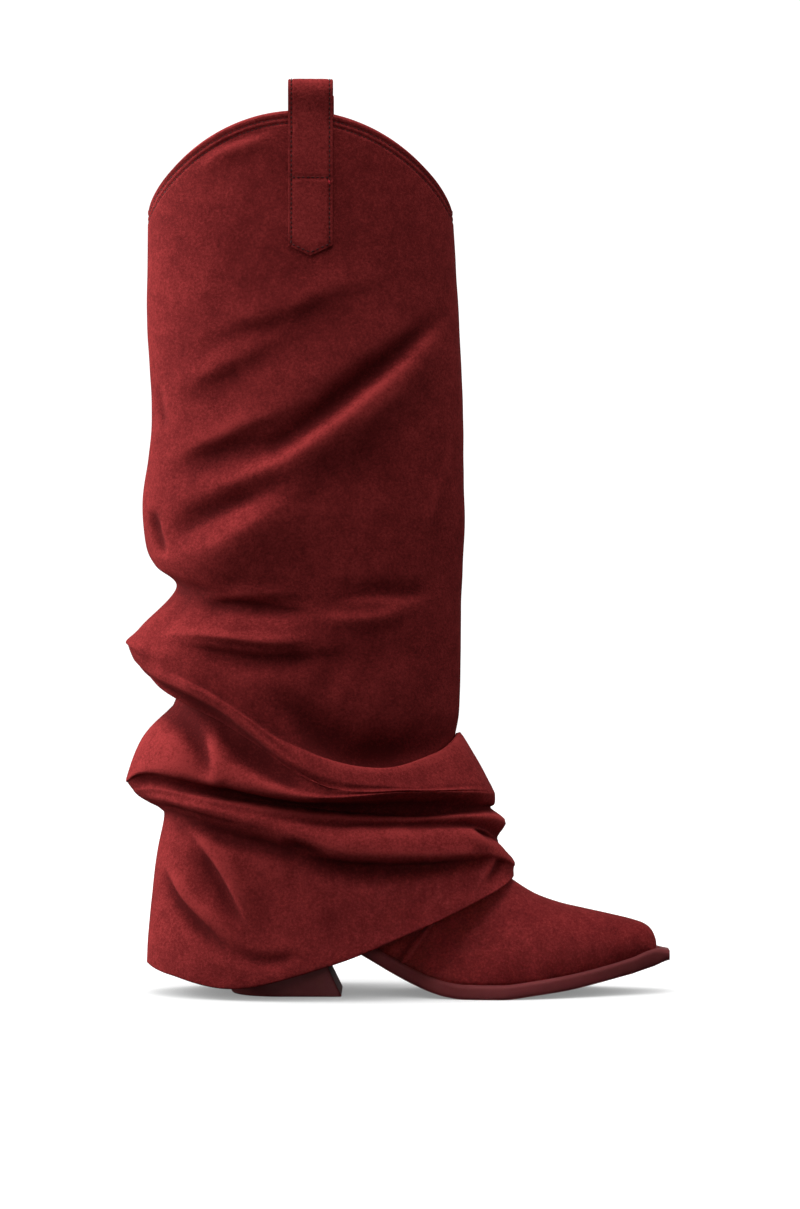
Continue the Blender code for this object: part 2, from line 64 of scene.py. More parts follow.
class Slot(Enum):
    """Material slots of the record."""

    SUEDE = "suede"
    SOLE = "sole_rubber"
    HEEL = "heel_block"
    CLOTH = "insole_cloth"


class Side(Enum):
    """Side of the foot, as the sign of Y."""

    OUTER = -1.0
    INNER = 1.0


class Zone(Enum):
    """Stretch of the sleeve that a crease stays on, as first and last row of the fold table."""

    CALF = (0.0, 9.4)
    TUBE = (8.4, 12.0)
    ROLL = (11.4, 13.9)
    VALLEY = (13.1, 16.6)
    BAND = (14.6, 18.0)
    GROOVE = (17.4, 20.4)
    SECOND = (19.6, 23.6)
    FOLD = (21.6, 24.9)
    SKIRT = (24.4, 30.0)


class SoleStation(NamedTuple):
    """One station of the sole: its reach to both sides, underside, edge thickness and welt."""

    x: float
    outer: float
    inner: float
    underside: float
    thickness: float
    welt: float


class FootSection(NamedTuple):
    """One leaning section of the foot, from the feather line to the ridge, and the ankle's half width."""

    low_x: float
    top_x: float
    top_z: float
    ankle_half: float


class ShaftRing(NamedTuple):
    """One ring of the inner shaft, from back seam to front seam, its sides higher by the rise."""

    back_x: float
    back_z: float
    front_x: float
    front_z: float
    half: float
    rise: float


class FoldRing(NamedTuple):
    """One ring of the sleeve in cloth order; heights run from the back seam round the outer side."""

    fold: str
    back_x: float
    front_x: float
    half: float
    front_full: float
    z_back: float
    z_30: float
    z_60: float
    z_side: float
    z_120: float
    z_150: float
    z_front: float
    inner_shift: float


class Crease(NamedTuple):
    """A soft ridge (rise above 0) or trough (below 0) along a line on the boot's side.

    Its height falls off as a bell curve, to 1/e at the two distances above and below the line, and to
    nothing at the line's ends.
    """

    rise: float
    above: float
    below: float
    path: tuple[Spot, ...]


SOLE_STATIONS = tuple(map(SoleStation._make, (
    (-56, 31, 31, 49, 6, 1),
    (-15, 31, 31, 45.8, 6, 1),
    (8, 30, 28.5, 42, 6.6, 1),
    (22, 28.6, 25.6, 37.2, 7.6, 1),
    (36, 27.6, 22.8, 30.2, 8.6, 1.2),
    (50, 28, 21.6, 22.3, 9.2, 1.4),
    (64, 30.2, 22.8, 14.3, 9.4, 1.7),
    (78, 34, 26.4, 7.4, 9.4, 2),
    (90, 37.8, 30.6, 2.8, 9.2, 2.3),
    (99, 40, 33.6, 0.8, 8.9, 2.5),
    (106, 41.4, 35.6, 0, 8.7, 2.6),
    (118, 43.2, 38.8, 0, 8.6, 2.7),
    (130, 43.4, 40.4, 0, 8.6, 2.7),
    (150, 40.2, 40.4, 2.4, 8.6, 2.7),
    (169, 34, 37.2, 4.9, 8.9, 2.7),
    (188, 26, 31.6, 8.7, 8.9, 2.7),
    (207, 17, 24.6, 12.8, 9.4, 2.7),
    (220, 10.4, 19.2, 16.5, 10, 2.7),
    (230, 4.6, 14.4, 19.8, 5.6, 2.7),
)))

FOOT_SECTIONS = tuple(map(FootSection._make, (
    (218, 222.6, 25, 0),
    (215.6, 222.2, 31, 0),
    (212.6, 219.8, 36.8, 0),
    (208.6, 215.5, 40.8, 0),
    (202, 208, 43.6, 0),
    (193, 195, 46.8, 0),
    (177, 179, 50.4, 0),
    (160, 164, 54, 0),
    (141, 149.5, 59.4, 0),
    (120, 137, 67.2, 0),
    (96, 127, 75, 0),
    (71, 117.5, 83.5, 27),
    (48, 109, 93, 29.5),
    (24, 102, 104.5, 31),
    (0, 97, 116, 32),
    (-22, 93.5, 128, 32.5),
    (-40, 91.5, 139, 32.5),
    (-50.5, 90, 149, 32.5),
    (-54.2, 89, 159, 32.5),
)))

SHAFT_RINGS = tuple(map(ShaftRing._make, (
    (-57.8, 71, 88.5, 170, 33, 0),
    (-58.4, 92, 89, 182, 33.5, 0),
    (-56, 117, 90, 195, 34, 0),
    (-53.5, 145, 92, 210, 35, 0),
    (-53.5, 177, 94, 228, 36.5, 0),
    (-55.5, 211, 96, 250, 38, 0),
    (-59, 244, 98.5, 277, 39.5, 0),
    (-68, 287, 100, 309, 41, 3.5),
    (-75, 332, 100.5, 347, 42, 13.5),
    (-78.5, 387, 99.5, 397, 42.6, 29),
    (-79.7, 437, 97.6, 439, 42.9, 46),
    (-79.9, 467.5, 96.9, 467.5, 43, 54.5),
)))

FOLD_RINGS = tuple(map(FoldRing._make, (
    ("collar", -82, 99, 45, 1, 468, 488, 512.5, 523, 512.5, 488, 468, 0),
    ("top_band", -82.2, 101, 46, 1, 437, 453, 479, 489.5, 479, 453, 438, 0),
    ("calf_top", -82, 103, 47.5, 1, 397, 405, 421, 428, 422, 408, 399, 0),
    ("calf", -80, 105, 48.5, 1, 347, 350, 356.5, 359, 358.5, 355.5, 352, 0),
    ("calf_back", -81.5, 105.8, 48.5, 1, 319, 317, 312.5, 310, 313, 316, 317, 0),
    ("back_bulge", -85.3, 106, 49.5, 1, 294, 291.5, 285, 281, 280.5, 282, 283, 0),
    ("bulge_foot", -83.5, 105.4, 49, 1, 269, 266, 259, 253.5, 252.5, 254, 255, 0),
    ("notch_lip", -77, 105, 48.2, 1, 256, 252.5, 246, 242, 243, 243.5, 243, 0),
    ("notch", -64, 104.5, 47.4, 1, 243, 238.5, 232.5, 231, 234.5, 233, 231, 0),
    ("nose_top", -86, 104, 49.6, 1, 219, 215.5, 213.5, 212, 212.5, 212, 210.5, 0),
    ("nose_trough", -95, 103.2, 48.6, 1, 211, 206, 200, 182, 164, 165.5, 170.5, 2),
    ("tube_foot", -94, 100, 48.4, 1, 208, 199.5, 185.5, 156, 135, 140, 147.5, 3),
    ("roll_top", -93, 104, 50.6, 1, 205, 196, 181, 149.5, 137, 145.5, 155.5, 3),
    ("roll_edge", -91, 119, 55.4, 1, 200.5, 191.5, 174, 137, 127.5, 129.5, 129, 2),
    ("under_nose", -86, 122, 55.8, 1, 191.5, 179, 161, 129.5, 125, 125, 124, 0),
    ("nose_valley", -70.5, 123, 56.1, 1, 176, 171.5, 154.5, 126.5, 124, 123.5, 122, 0),
    ("band_back", -86.5, 124, 56.4, 1, 150, 151.5, 143.5, 123.5, 123.5, 122.5, 120, -2),
    ("band_edge", -95, 124.5, 57, 1, 129, 135.5, 129, 119.5, 122, 121, 118, -3),
    ("recess", -94.2, 124.2, 48, 0.98, 125.5, 131, 124.5, 116, 115.5, 116, 113, -3),
    ("groove", -92.5, 121.8, 43.5, 0.96, 123, 127.5, 121.5, 113.5, 108.5, 110.5, 110.4, -3),
    ("thin_ridge", -90.5, 131.2, 48.2, 0.94, 120.5, 124, 118, 111, 107, 107.5, 102.5, -2),
    ("second_groove", -88, 126.2, 47.8, 0.92, 118, 121, 114.5, 105.5, 102.5, 101.5, 93.4, -2),
    ("fold_top", -85, 127.6, 52.8, 0.91, 116, 117.5, 110.5, 101.5, 100, 99.5, 89.6, 0),
    ("fold_face", -80.5, 133, 56.5, 0.90, 113.5, 114.5, 106, 96, 93, 93.5, 83, 1),
    ("fold_edge", -74.5, 136.4, 57, 0.88, 110, 110, 101.5, 87, 85, 85.5, 77.5, 2),
    ("skirt_top", -72.5, 136, 50.5, 0.83, 105.5, 104, 94.5, 81, 79.5, 81, 75.6, 2),
    ("skirt_upper", -76, 135.8, 51.8, 0.80, 85, 82, 75, 68.5, 70, 73, 74, 1),
    ("skirt_middle", -79, 135.8, 53.4, 0.77, 61, 57, 51, 51, 60, 68.5, 72.6, 0),
    ("skirt_low", -81.5, 135.8, 55, 0.73, 37, 33.5, 28, 35, 51, 65, 71.4, -2),
    ("hem", -82.5, 135.8, 56.2, 0.70, 18.5, 14, 8, 22, 43.5, 62, 70.4, -3),
)))

# Creases of the outer side from the collar down, by the stretch of the sleeve that they stay on.
CREASES = {
    Zone.CALF: (
        # Collar.
        Crease(1.6, 2.5, 7, ((-58, 485), (-39, 499), (-20, 506), (2, 512))),
        Crease(-1, 2.5, 2.5, ((-58, 491), (-42, 503), (-22, 510), (0, 515))),
        # Faint slanting pulls of the calf.
        Crease(1.4, 10, 6, (
            (-62, 388), (-44, 395), (-23, 402), (-3, 406), (14, 413), (30, 421), (50, 427), (66, 432),
        )),
        Crease(-0.9, 7, 12, (
            (-74, 374), (-58, 379), (-42, 385), (-20, 392), (10, 402), (33, 412), (57, 419), (80, 427),
        )),
        Crease(1.6, 9, 6, ((-72, 356), (-66, 360), (-52, 367), (-36, 375), (-21, 383), (-9, 389), (6, 396))),
        Crease(-1.1, 7, 11, (
            (-74, 346), (-60, 352), (-46, 359), (-29, 367), (-9, 379), (5, 387), (22, 396), (40, 404),
        )),
        Crease(1.8, 14, 9, (
            (-24, 340), (-8, 348), (7, 357), (26, 370), (46, 382), (65, 394), (82, 405), (94, 413),
        )),
        # Deep slanting trough and the roll under it.
        Crease(-6.4, 7, 4, (
            (-22, 319), (-10, 323), (2, 329), (11, 336), (22, 344), (34, 353), (48, 364), (58, 372), (70, 382),
            (78, 391), (90, 402), (100, 412),
        )),
        Crease(5.8, 7, 16, (
            (-76, 288), (-56, 295), (-38, 301), (-19, 308), (-6, 313), (8, 320), (21, 329), (33, 338),
            (46, 349), (58, 360), (69, 369), (81, 380), (93, 393), (108, 409),
        )),
        Crease(0.7, 4, 6, (
            (22, 302), (30, 314), (38, 326), (48, 342), (58, 352), (70, 363), (81, 377), (90, 390),
        )),
        Crease(2.4, 10, 4.6, (
            (-78, 316), (-72, 319), (-62, 323), (-48, 329), (-30, 336), (-15, 343), (1, 349), (14, 359),
        )),
        Crease(-2.4, 6, 8, ((-70, 307), (-58, 313), (-48, 317), (-29, 324), (-9, 328), (5, 330), (18, 336))),
        # Lower slanting roll that ends in a pocket at the back.
        Crease(-4.2, 9, 5, ((-72, 272), (-58, 279), (-42, 287), (-23, 295), (-9, 302), (1, 312))),
        Crease(5.2, 9, 20, (
            (-84, 253), (-73, 256), (-61, 260), (-47, 264), (-31, 271), (-18, 279), (-5, 286), (4, 294),
            (13, 304), (24, 318),
        )),
        Crease(-5, 3, 3, ((-80, 292), (-79, 286), (-77, 276), (-73, 266), (-68, 261))),
        Crease(-1.6, 2.5, 2.5, ((-76, 366), (-75, 355), (-73, 344), (-72, 334))),
        Crease(1, 4, 3, ((80, 262), (82, 271), (86, 287), (92, 302), (96, 318), (100, 330))),
        # Level pulls at the notch.
        Crease(1.4, 2, 3, ((-88, 215), (-73, 226), (-60, 237))),
        Crease(1.5, 5, 2.5, ((-52, 238), (-39, 238), (-2, 239), (12, 238))),
        Crease(-3.8, 2.5, 6, ((-56, 234), (-47, 233), (-22, 233), (-2, 230), (18, 228))),
        Crease(-2, 7, 3, ((26, 236), (46, 239), (72, 239), (92, 241))),
        Crease(2, 4, 6, ((12, 227), (21, 226), (49, 225), (70, 230), (84, 236))),
    ),
    Zone.TUBE: (
        # Tube below the notch, sunk behind the front band.
        Crease(2.6, 6, 3, ((-82, 214), (-74, 216), (-51, 217), (-32, 214), (-6, 211), (14, 212), (30, 215))),
        Crease(-3.4, 3.5, 9, ((-78, 212), (-62, 208), (-36, 204), (-20, 201), (1, 201), (30, 203), (44, 207))),
        Crease(1.4, 12, 12, ((39, 165), (60, 183), (77, 206))),
        Crease(-1.8, 9, 9, ((15, 177), (30, 195), (39, 212))),
        Crease(-8, 14, 8, (
            (-10, 190), (-2, 180), (7, 169), (15, 159), (24, 150), (30, 146), (40, 141), (51, 140), (62, 142),
            (77, 146), (90, 152), (100, 158), (108, 165),
        )),
    ),
    Zone.ROLL: (
        # Roll with its slanting lower edge, and the front band.
        Crease(2.6, 9, 2.5, (
            (-84, 208), (-76, 202), (-67, 194), (-54, 186), (-39, 179), (-24, 170), (-11, 161), (1, 151),
            (10, 142), (20, 135), (30, 129),
        )),
        Crease(1.8, 2.5, 8, (
            (7, 165), (15, 155), (24, 146), (30, 142), (40, 137), (51, 136), (62, 138), (77, 142), (90, 148),
            (99, 154),
        )),
    ),
    Zone.VALLEY: (
        Crease(-14, 8, 10, (
            (-104, 212), (-79, 192), (-71, 186), (-60, 178), (-46, 170), (-36, 161), (-23, 150), (-10, 140),
            (7, 129), (27, 119),
        )),
    ),
    Zone.BAND: (
        # Second lip at the back with a dark pocket, and the lower band.
        Crease(3.2, 6, 3, (
            (-80, 190), (-69, 179), (-58, 171), (-48, 166), (-44, 161), (-40, 152), (-38, 142), (-37, 134),
        )),
        Crease(-6.5, 4, 9, (
            (-84, 184), (-74, 174), (-65, 166), (-57, 159), (-51, 152), (-48, 144), (-46, 134), (-45, 122),
        )),
        Crease(1.5, 4, 5, ((-72, 160), (-64, 152), (-54, 142), (-46, 136))),
    ),
    Zone.GROOVE: (
        Crease(-7, 8, 8, (
            (-73, 133), (-52, 129), (-36, 124), (-14, 117), (8, 115), (37, 112), (68, 115), (98, 116),
            (118, 117),
        )),
    ),
    Zone.SECOND: (
        Crease(5.2, 5.5, 6, (
            (-100, 122), (-86, 121), (-73, 120), (-52, 117), (-30, 114), (-5, 110), (20, 105), (36, 103),
        )),
        Crease(-2, 4, 3, ((30, 106), (50, 104), (75, 104), (100, 105), (116, 103))),
    ),
    Zone.FOLD: (
        # Lower fold with a tuck and a diagonal edge at the front.
        Crease(-3.5, 2.5, 2.5, ((-4, 96), (5, 93), (18, 89), (30, 85))),
        Crease(3, 2.5, 4, ((96, 111), (102, 106), (110, 99), (118, 93), (126, 88))),
        Crease(-6.5, 4, 2.5, ((100, 112), (108, 106), (115, 101), (122, 96), (130, 90))),
    ),
    Zone.SKIRT: (
        # Skirt: shade under the fold, two slanting ridges with troughs behind them, hem.
        Crease(-5, 5, 10, ((10, 88), (27, 82), (45, 80), (65, 81), (83, 82), (101, 84), (118, 83))),
        Crease(-4.2, 3, 5, ((-66, 108), (-56, 104), (-36, 97), (-20, 93), (-2, 89), (14, 85))),
        Crease(4, 9, 3, (
            (-66, 109), (-52, 98), (-42, 86), (-33, 74), (-28, 62), (-22, 52), (-18, 42), (-15, 34),
        )),
        Crease(-3, 3, 8, ((-56, 93), (-47, 83), (-40, 73), (-33, 62), (-27, 51), (-23, 42))),
        Crease(3.4, 8, 3, (
            (-76, 86), (-72, 81), (-66, 73), (-60, 61), (-51, 52), (-40, 44), (-33, 36), (-26, 30),
        )),
        Crease(-3, 3, 6, ((-74, 80), (-71, 75), (-64, 61), (-52, 47), (-40, 36), (-24, 27))),
        Crease(-2, 3.5, 4, ((-34, 31), (-26, 28), (-11, 24), (4, 26), (14, 29))),
        Crease(1.5, 2.5, 4, ((127, 90), (121, 77), (115, 68), (110, 62))),
        Crease(-2, 3, 3, ((131, 86), (126, 76), (120, 66))),
        Crease(1.2, 12, 12, ((-6, 66), (20, 58), (46, 56), (74, 60))),
    ),
}


def along(rows: Sequence[Sequence[float]] | Array, place: Array) -> Array:
    """Smooth curve through a table: between two rows, the Catmull-Rom cubic of the four nearest rows.

    Args:
        rows: The table, one row for each stop of the curve.
        place: Fractional row numbers.

    Returns:
        One interpolated row for each place.
    """
    rows = np.asarray(rows, float)
    place = np.atleast_1d(np.asarray(place, float))
    first = np.clip(np.floor(place).astype(int), 0, len(rows) - 2)
    t = (place - first)[:, None]
    before = rows[np.maximum(first - 1, 0)]
    start = rows[first]
    end = rows[first + 1]
    after = rows[np.minimum(first + 2, len(rows) - 1)]
    bend = 2 * before - 5 * start + 4 * end - after
    twist = 3 * start - before - 3 * end + after
    return start + 0.5 * t * ((end - before) + t * (bend + t * twist))


def smoothstep(value: Array, low: float, high: float) -> Array:
    """Rise from 0 at low to 1 at high, level at both ends."""
    t = np.clip((value - low) / (high - low), 0.0, 1.0)
    return t * t * (3.0 - 2.0 * t)


def bell(distance: Array, width: float | Array) -> Array:
    """Bell curve: 1 at distance 0, 1/e at the width."""
    return np.exp(-((distance / width) ** 2))


def signed_power(value: Array, power: float | Array) -> Array:
    """Power of a value's size, with the value's sign."""
    return np.sign(value) * np.abs(value) ** power


def unit(vectors: Array) -> Array:
    """Vectors of length one along the last axis."""
    return vectors / np.maximum(np.linalg.norm(vectors, axis=-1, keepdims=True), 1e-9)


def circle(count: int) -> Array:
    """Angles at even steps round a circle."""
    return np.linspace(0.0, TURN, count, endpoint=False)


def soften(rows: Array) -> None:
    """Move each row but the first and the last halfway to the mean of its neighbours, in place."""
    rows[1:-1] = 0.5 * rows[1:-1] + 0.25 * (rows[:-2] + rows[2:])


def line_run(points: Array) -> Array:
    """Distance of each point along a polyline."""
    return np.concatenate([[0.0], np.cumsum(np.linalg.norm(np.diff(points, axis=0), axis=1))])


def even_stops(points: Array, count: int) -> Array:
    """Fractional point numbers at even distances along a polyline, both ends among them."""
    run = line_run(points)
    return np.interp(np.linspace(0.0, run[-1], count), run, np.arange(len(points)))


def step_round(rings: Array) -> Array:
    """Step from each point's neighbour before it to the one after it, round closed rings."""
    return np.roll(rings, -1, axis=-2) - np.roll(rings, 1, axis=-2)


def plan_normals(rings: Array) -> Array:
    """Level unit normals of closed rings, outwards where they run round to the left."""
    step = step_round(rings)
    return unit(np.stack([step[..., 1], -step[..., 0], np.zeros(step.shape[:-1])], axis=-1))


def grid_normals(grid: Array, around: bool = True) -> Array:
    """Unit normals of a grid surface: the cross product of its two central differences.

    Args:
        grid: Points as rows x columns x 3.
        around: Whether the columns close into rings.

    Returns:
        Normals in the shape of the grid, outwards where rows run down and columns run round to the left.
    """
    across = step_round(grid) if around else np.gradient(grid, axis=1)
    return unit(np.cross(np.gradient(grid, axis=0), across))


def grid_quads(rows: int, columns: int, around: bool = False, over: bool = False) -> Array:
    """Vertex numbers of the quads over a grid that is stored row by row.

    Args:
        rows: Number of rows.
        columns: Number of columns.
        around: Whether the last column joins the first.
        over: Whether the last row joins the first.

    Returns:
        One row of four vertex numbers for each quad.
    """
    row = np.arange(rows if over else rows - 1)[:, None]
    column = np.arange(columns if around else columns - 1)[None, :]
    below = (row + 1) % rows
    beside = (column + 1) % columns
    corners = (row * columns + column, below * columns + column, below * columns + beside, row * columns + beside)
    return np.stack([np.broadcast_to(corner, (row.size, column.size)) for corner in corners], -1).reshape(-1, 4)


def tube_shape(x: Array, y: Array, z: Array) -> Shape:
    """Closed tube through rings of points, its two ends capped.

    Args:
        x: First coordinate, in a form that spreads to the others' shape.
        y: Second coordinate, as rings x points.
        z: Third coordinate, in the same shape.

    Returns:
        Vertices and faces.
    """
    rows, columns = y.shape
    grid = np.stack([np.broadcast_to(x, y.shape), y, z], axis=-1)
    ends = [list(range(columns)), list(range((rows - 1) * columns, rows * columns))]
    return grid.reshape(-1, 3), grid_quads(rows, columns, around=True).tolist() + ends


def wall_shape(near: Array, far: Array, edge_rows: int | None = None) -> Shape:
    """Closed wall between two grids of one size, joined along their rims.

    Args:
        near: One face, as rows x columns x 3.
        far: The other face.
        edge_rows: How many rows are joined at their two ends; all of them where it isn't given.

    Returns:
        Vertices and faces.
    """
    rows, columns = near.shape[:2]
    size = rows * columns
    quads = grid_quads(rows, columns)
    number = np.arange(size).reshape(rows, columns)
    rims = [number[0], number[-1], number[:edge_rows, 0], number[:edge_rows, -1]]
    strips = [np.stack([rim[:-1], rim[1:], rim[1:] + size, rim[:-1] + size], -1) for rim in rims]
    faces = np.concatenate([quads, quads + size, *strips]).tolist()
    return np.concatenate([near.reshape(-1, 3), far.reshape(-1, 3)]), faces


class Wire:
    """A shader socket in a Python expression; each operator adds one Math node."""

    def __init__(self, tree: bpy.types.NodeTree, socket: bpy.types.NodeSocket) -> None:
        """Keep the tree and the socket."""
        self.tree = tree
        self.socket = socket

    def math(self, operation: str, first: "Wire | float", second: "Wire | float") -> "Wire":
        """Add a Math node.

        Args:
            operation: The node's operation.
            first: Left side, a wire or a number.
            second: Right side, a wire or a number.

        Returns:
            The node's result.
        """
        return Nodes(self.tree).node("ShaderNodeMath", {"operation": operation}, {0: first, 1: second})

    def __add__(self, other: "Wire | float") -> "Wire":
        """Sum."""
        return self.math("ADD", self, other)

    def __radd__(self, other: float) -> "Wire":
        """Sum with a number on the left."""
        return self.math("ADD", other, self)

    def __sub__(self, other: "Wire | float") -> "Wire":
        """Difference."""
        return self.math("SUBTRACT", self, other)

    def __rmul__(self, other: float) -> "Wire":
        """Product with a number on the left."""
        return self.math("MULTIPLY", other, self)


class Nodes:
    """A node tree that nodes are added to."""

    def __init__(self, tree: bpy.types.NodeTree) -> None:
        """Keep the tree."""
        self.tree = tree

    def node(
        self,
        kind: str,
        settings: dict[str, Any] | None = None,
        inputs: dict[str | int, Any] | None = None,
        output: str | int = 0,
    ) -> Wire:
        """Add a node.

        Args:
            kind: The node's type.
            settings: Its settings, set first.
            inputs: Values or wires of its sockets, by name or number.
            output: The output to use.

        Returns:
            The chosen output.
        """
        made = self.tree.nodes.new(kind)
        for setting, value in (settings or {}).items():
            setattr(made, setting, value)
        for socket, value in (inputs or {}).items():
            if isinstance(value, Wire):
                self.tree.links.new(value.socket, made.inputs[socket])
            else:
                made.inputs[socket].default_value = value
        return Wire(self.tree, made.outputs[output])

    def ramp(self, tone: Wire, stops: Stops) -> Wire:
        """Colour ramp.

        Args:
            tone: Place on the ramp, from 0 to 1.
            stops: Places and colours: both ends first, then any between them.

        Returns:
            The colour.
        """
        colour = self.node("ShaderNodeValToRGB", inputs={"Fac": tone})
        elements = colour.socket.node.color_ramp.elements
        for index, (position, shade) in enumerate(stops):
            element = elements[index] if index < 2 else elements.new(position)
            element.position = position
            element.color = (*shade, 1.0)
        return colour


class Shader(Nodes):
    """A material's nodes round one Principled shader."""

    def __init__(self, name: str, constants: dict[str, Any]) -> None:
        """Make the material.

        Args:
            name: The material's name.
            constants: Values that are the same all over the surface, by socket.
        """
        self.material = bpy.data.materials.new(name)
        self.material.use_nodes = True
        super().__init__(self.material.node_tree)
        self.principled = self.tree.nodes["Principled BSDF"]
        for socket, value in constants.items():
            self.principled.inputs[socket].default_value = value
        self.place = self.node("ShaderNodeTexCoord", output="Object")

    def noise(self, size: float, detail: float, stretch: Triple = (1.0, 1.0, 1.0)) -> Wire:
        """Cloudy noise about 0, from about -0.5 to 0.5.

        Args:
            size: Size of a cloud in millimetres.
            detail: Octaves of finer clouds.
            stretch: Factors on the three coordinates; below 1 draws the clouds out.

        Returns:
            The noise.
        """
        place = self.node("ShaderNodeMapping", inputs={"Vector": self.place, "Scale": stretch})
        inputs = {"Vector": place, "Scale": 1.0 / (size * MM), "Detail": detail, "Roughness": 0.6}
        return self.node("ShaderNodeTexNoise", inputs=inputs) - 0.5

    def bump(self, height: Wire, depth: float, strength: float) -> Wire:
        """Normal of a height from 0 to 1 that stands for a depth in millimetres."""
        return self.node("ShaderNodeBump", inputs={"Strength": strength, "Distance": depth * MM, "Height": height})

    def feed(self, socket: str, wire: Wire) -> None:
        """Link a wire to the Principled shader."""
        self.tree.links.new(wire.socket, self.principled.inputs[socket])


class Layer(NamedTuple):
    """One noise of a finish: cloud size, octaves, its shares of tone, roughness and height, and its stretch."""

    size: float
    detail: float
    tone: float
    rough: float = 0.0
    height: float = 0.0
    stretch: Triple = (1.0, 1.0, 1.0)


@dataclass(frozen=True)
class Finish:
    """A material whose tone, roughness and fine bump are sums of noise layers."""

    name: str
    slot: Slot
    stops: Stops
    layers: tuple[Layer, ...]
    roughness: float
    bump: Spot
    constants: dict[str, Any]
    shade_and_tone: float = 0.0

    @cached_property
    def material(self) -> bpy.types.Material:
        """Build the material, once; a piece's own tone attribute, painted highlight and painted shade on the sleeve and
        the foot, enters the tone at the finish's share.

        Returns:
            The material.
        """
        shader = Shader(self.name, self.constants)
        noises = [shader.noise(layer.size, layer.detail, layer.stretch) for layer in self.layers]
        tone, rough, height = 0.5, self.roughness, 0.5
        for layer, noise in zip(self.layers, noises):
            tone = tone + layer.tone * noise
            rough = rough + layer.rough * noise if layer.rough else rough
            height = height + layer.height * noise if layer.height else height
        # The piece's tone attribute adds painted highlight and painted shade.
        if self.shade_and_tone:
            tone = tone + self.shade_and_tone * shader.node("ShaderNodeAttribute", {"attribute_name": "shade_and_tone"}, output="Fac")
        shader.feed("Base Color", shader.ramp(tone, self.stops))
        shader.feed("Roughness", rough)
        shader.feed("Normal", shader.bump(height, *self.bump))
        return shader.material


# Napped suede: clouds, brushed marks, grain and fibre, with painted highlight on ridges and painted shade in troughs.
SUEDE = Finish(
    "suede_nap",
    Slot.SUEDE,
    ((0.0, (0.100, 0.0092, 0.0098)), (1.0, (0.360, 0.0390, 0.0385)), (0.5, (0.205, 0.0192, 0.0199))),
    (
        Layer(36.0, 3.0, tone=0.55),
        Layer(8.0, 4.0, tone=0.65, height=0.5),
        Layer(1.5, 2.0, tone=1.1, rough=0.12, height=0.8),
        Layer(0.5, 2.0, tone=1.0, height=0.6),
    ),
    roughness=0.92,
    bump=(0.45, 0.55),
    constants={
        "Specular IOR Level": 0.05,
        "Sheen Weight": 0.05,
        "Sheen Roughness": 0.45,
        "Sheen Tint": (0.8, 0.10, 0.10, 1.0),
    },
    # Share of the piece's painted highlight and shade in the tone.
    shade_and_tone=0.36,
)

# Matt moulding: faint clouds, a fine moulded grain and scuffs.
MOULDED_LAYERS = (
    Layer(22.0, 4.0, tone=0.7),
    Layer(0.8, 2.0, tone=0.35, rough=0.1, height=1.0),
    Layer(5.0, 5.0, tone=0.5, rough=0.25, height=0.4, stretch=(0.25, 0.25, 1.6)),
)
SOLE_MOULDING = Finish(
    "sole_moulded",
    Slot.SOLE,
    ((0.0, (0.140, 0.0230, 0.0250)), (1.0, (0.226, 0.0430, 0.0455))),
    MOULDED_LAYERS,
    roughness=0.70,
    bump=(0.12, 0.5),
    constants={"Specular IOR Level": 0.12, "Coat Weight": 0.0, "Coat Roughness": 0.35},
)
HEEL_MOULDING = Finish(
    "heel_moulded",
    Slot.HEEL,
    ((0.0, (0.180, 0.0330, 0.0350)), (1.0, (0.300, 0.0620, 0.0650))),
    MOULDED_LAYERS,
    roughness=0.50,
    bump=(0.12, 0.5),
    constants={"Specular IOR Level": 0.12, "Coat Weight": 0.12, "Coat Roughness": 0.35},
)

# Brushed lining cloth: soft clouds, a fine felted grain and fibre.
CLOTH = Finish(
    "lining_cloth",
    Slot.CLOTH,
    ((0.0, (0.055, 0.014, 0.014)), (1.0, (0.170, 0.052, 0.050))),
    (
        Layer(28.0, 3.0, tone=0.7),
        Layer(1.1, 3.0, tone=0.8, rough=0.1, height=1.0, stretch=(1.0, 1.0, 0.6)),
        Layer(0.4, 2.0, tone=0.4, height=0.6),
    ),
    roughness=0.93,
    bump=(0.3, 0.5),
    constants={"Specular IOR Level": 0.15, "Sheen Weight": 0.08, "Sheen Roughness": 0.5},
)

# Twisted sewing thread, and the bright end that shows on the outer strap.
THREAD, BRIGHT_THREAD = (
    Finish(
        name,
        Slot.SUEDE,
        ((0.0, dark), (1.0, light)),
        (Layer(0.5, 2.0, tone=1.2, rough=0.2, height=1.0),),
        roughness=0.62,
        bump=(0.1, 0.5),
        constants={"Specular IOR Level": 0.3},
    )
    for name, dark, light in (
        ("thread_wine", (0.030, 0.0025, 0.003), (0.085, 0.009, 0.010)),
        ("thread_end", (0.45, 0.010, 0.025), (0.75, 0.030, 0.050)),
    )
)


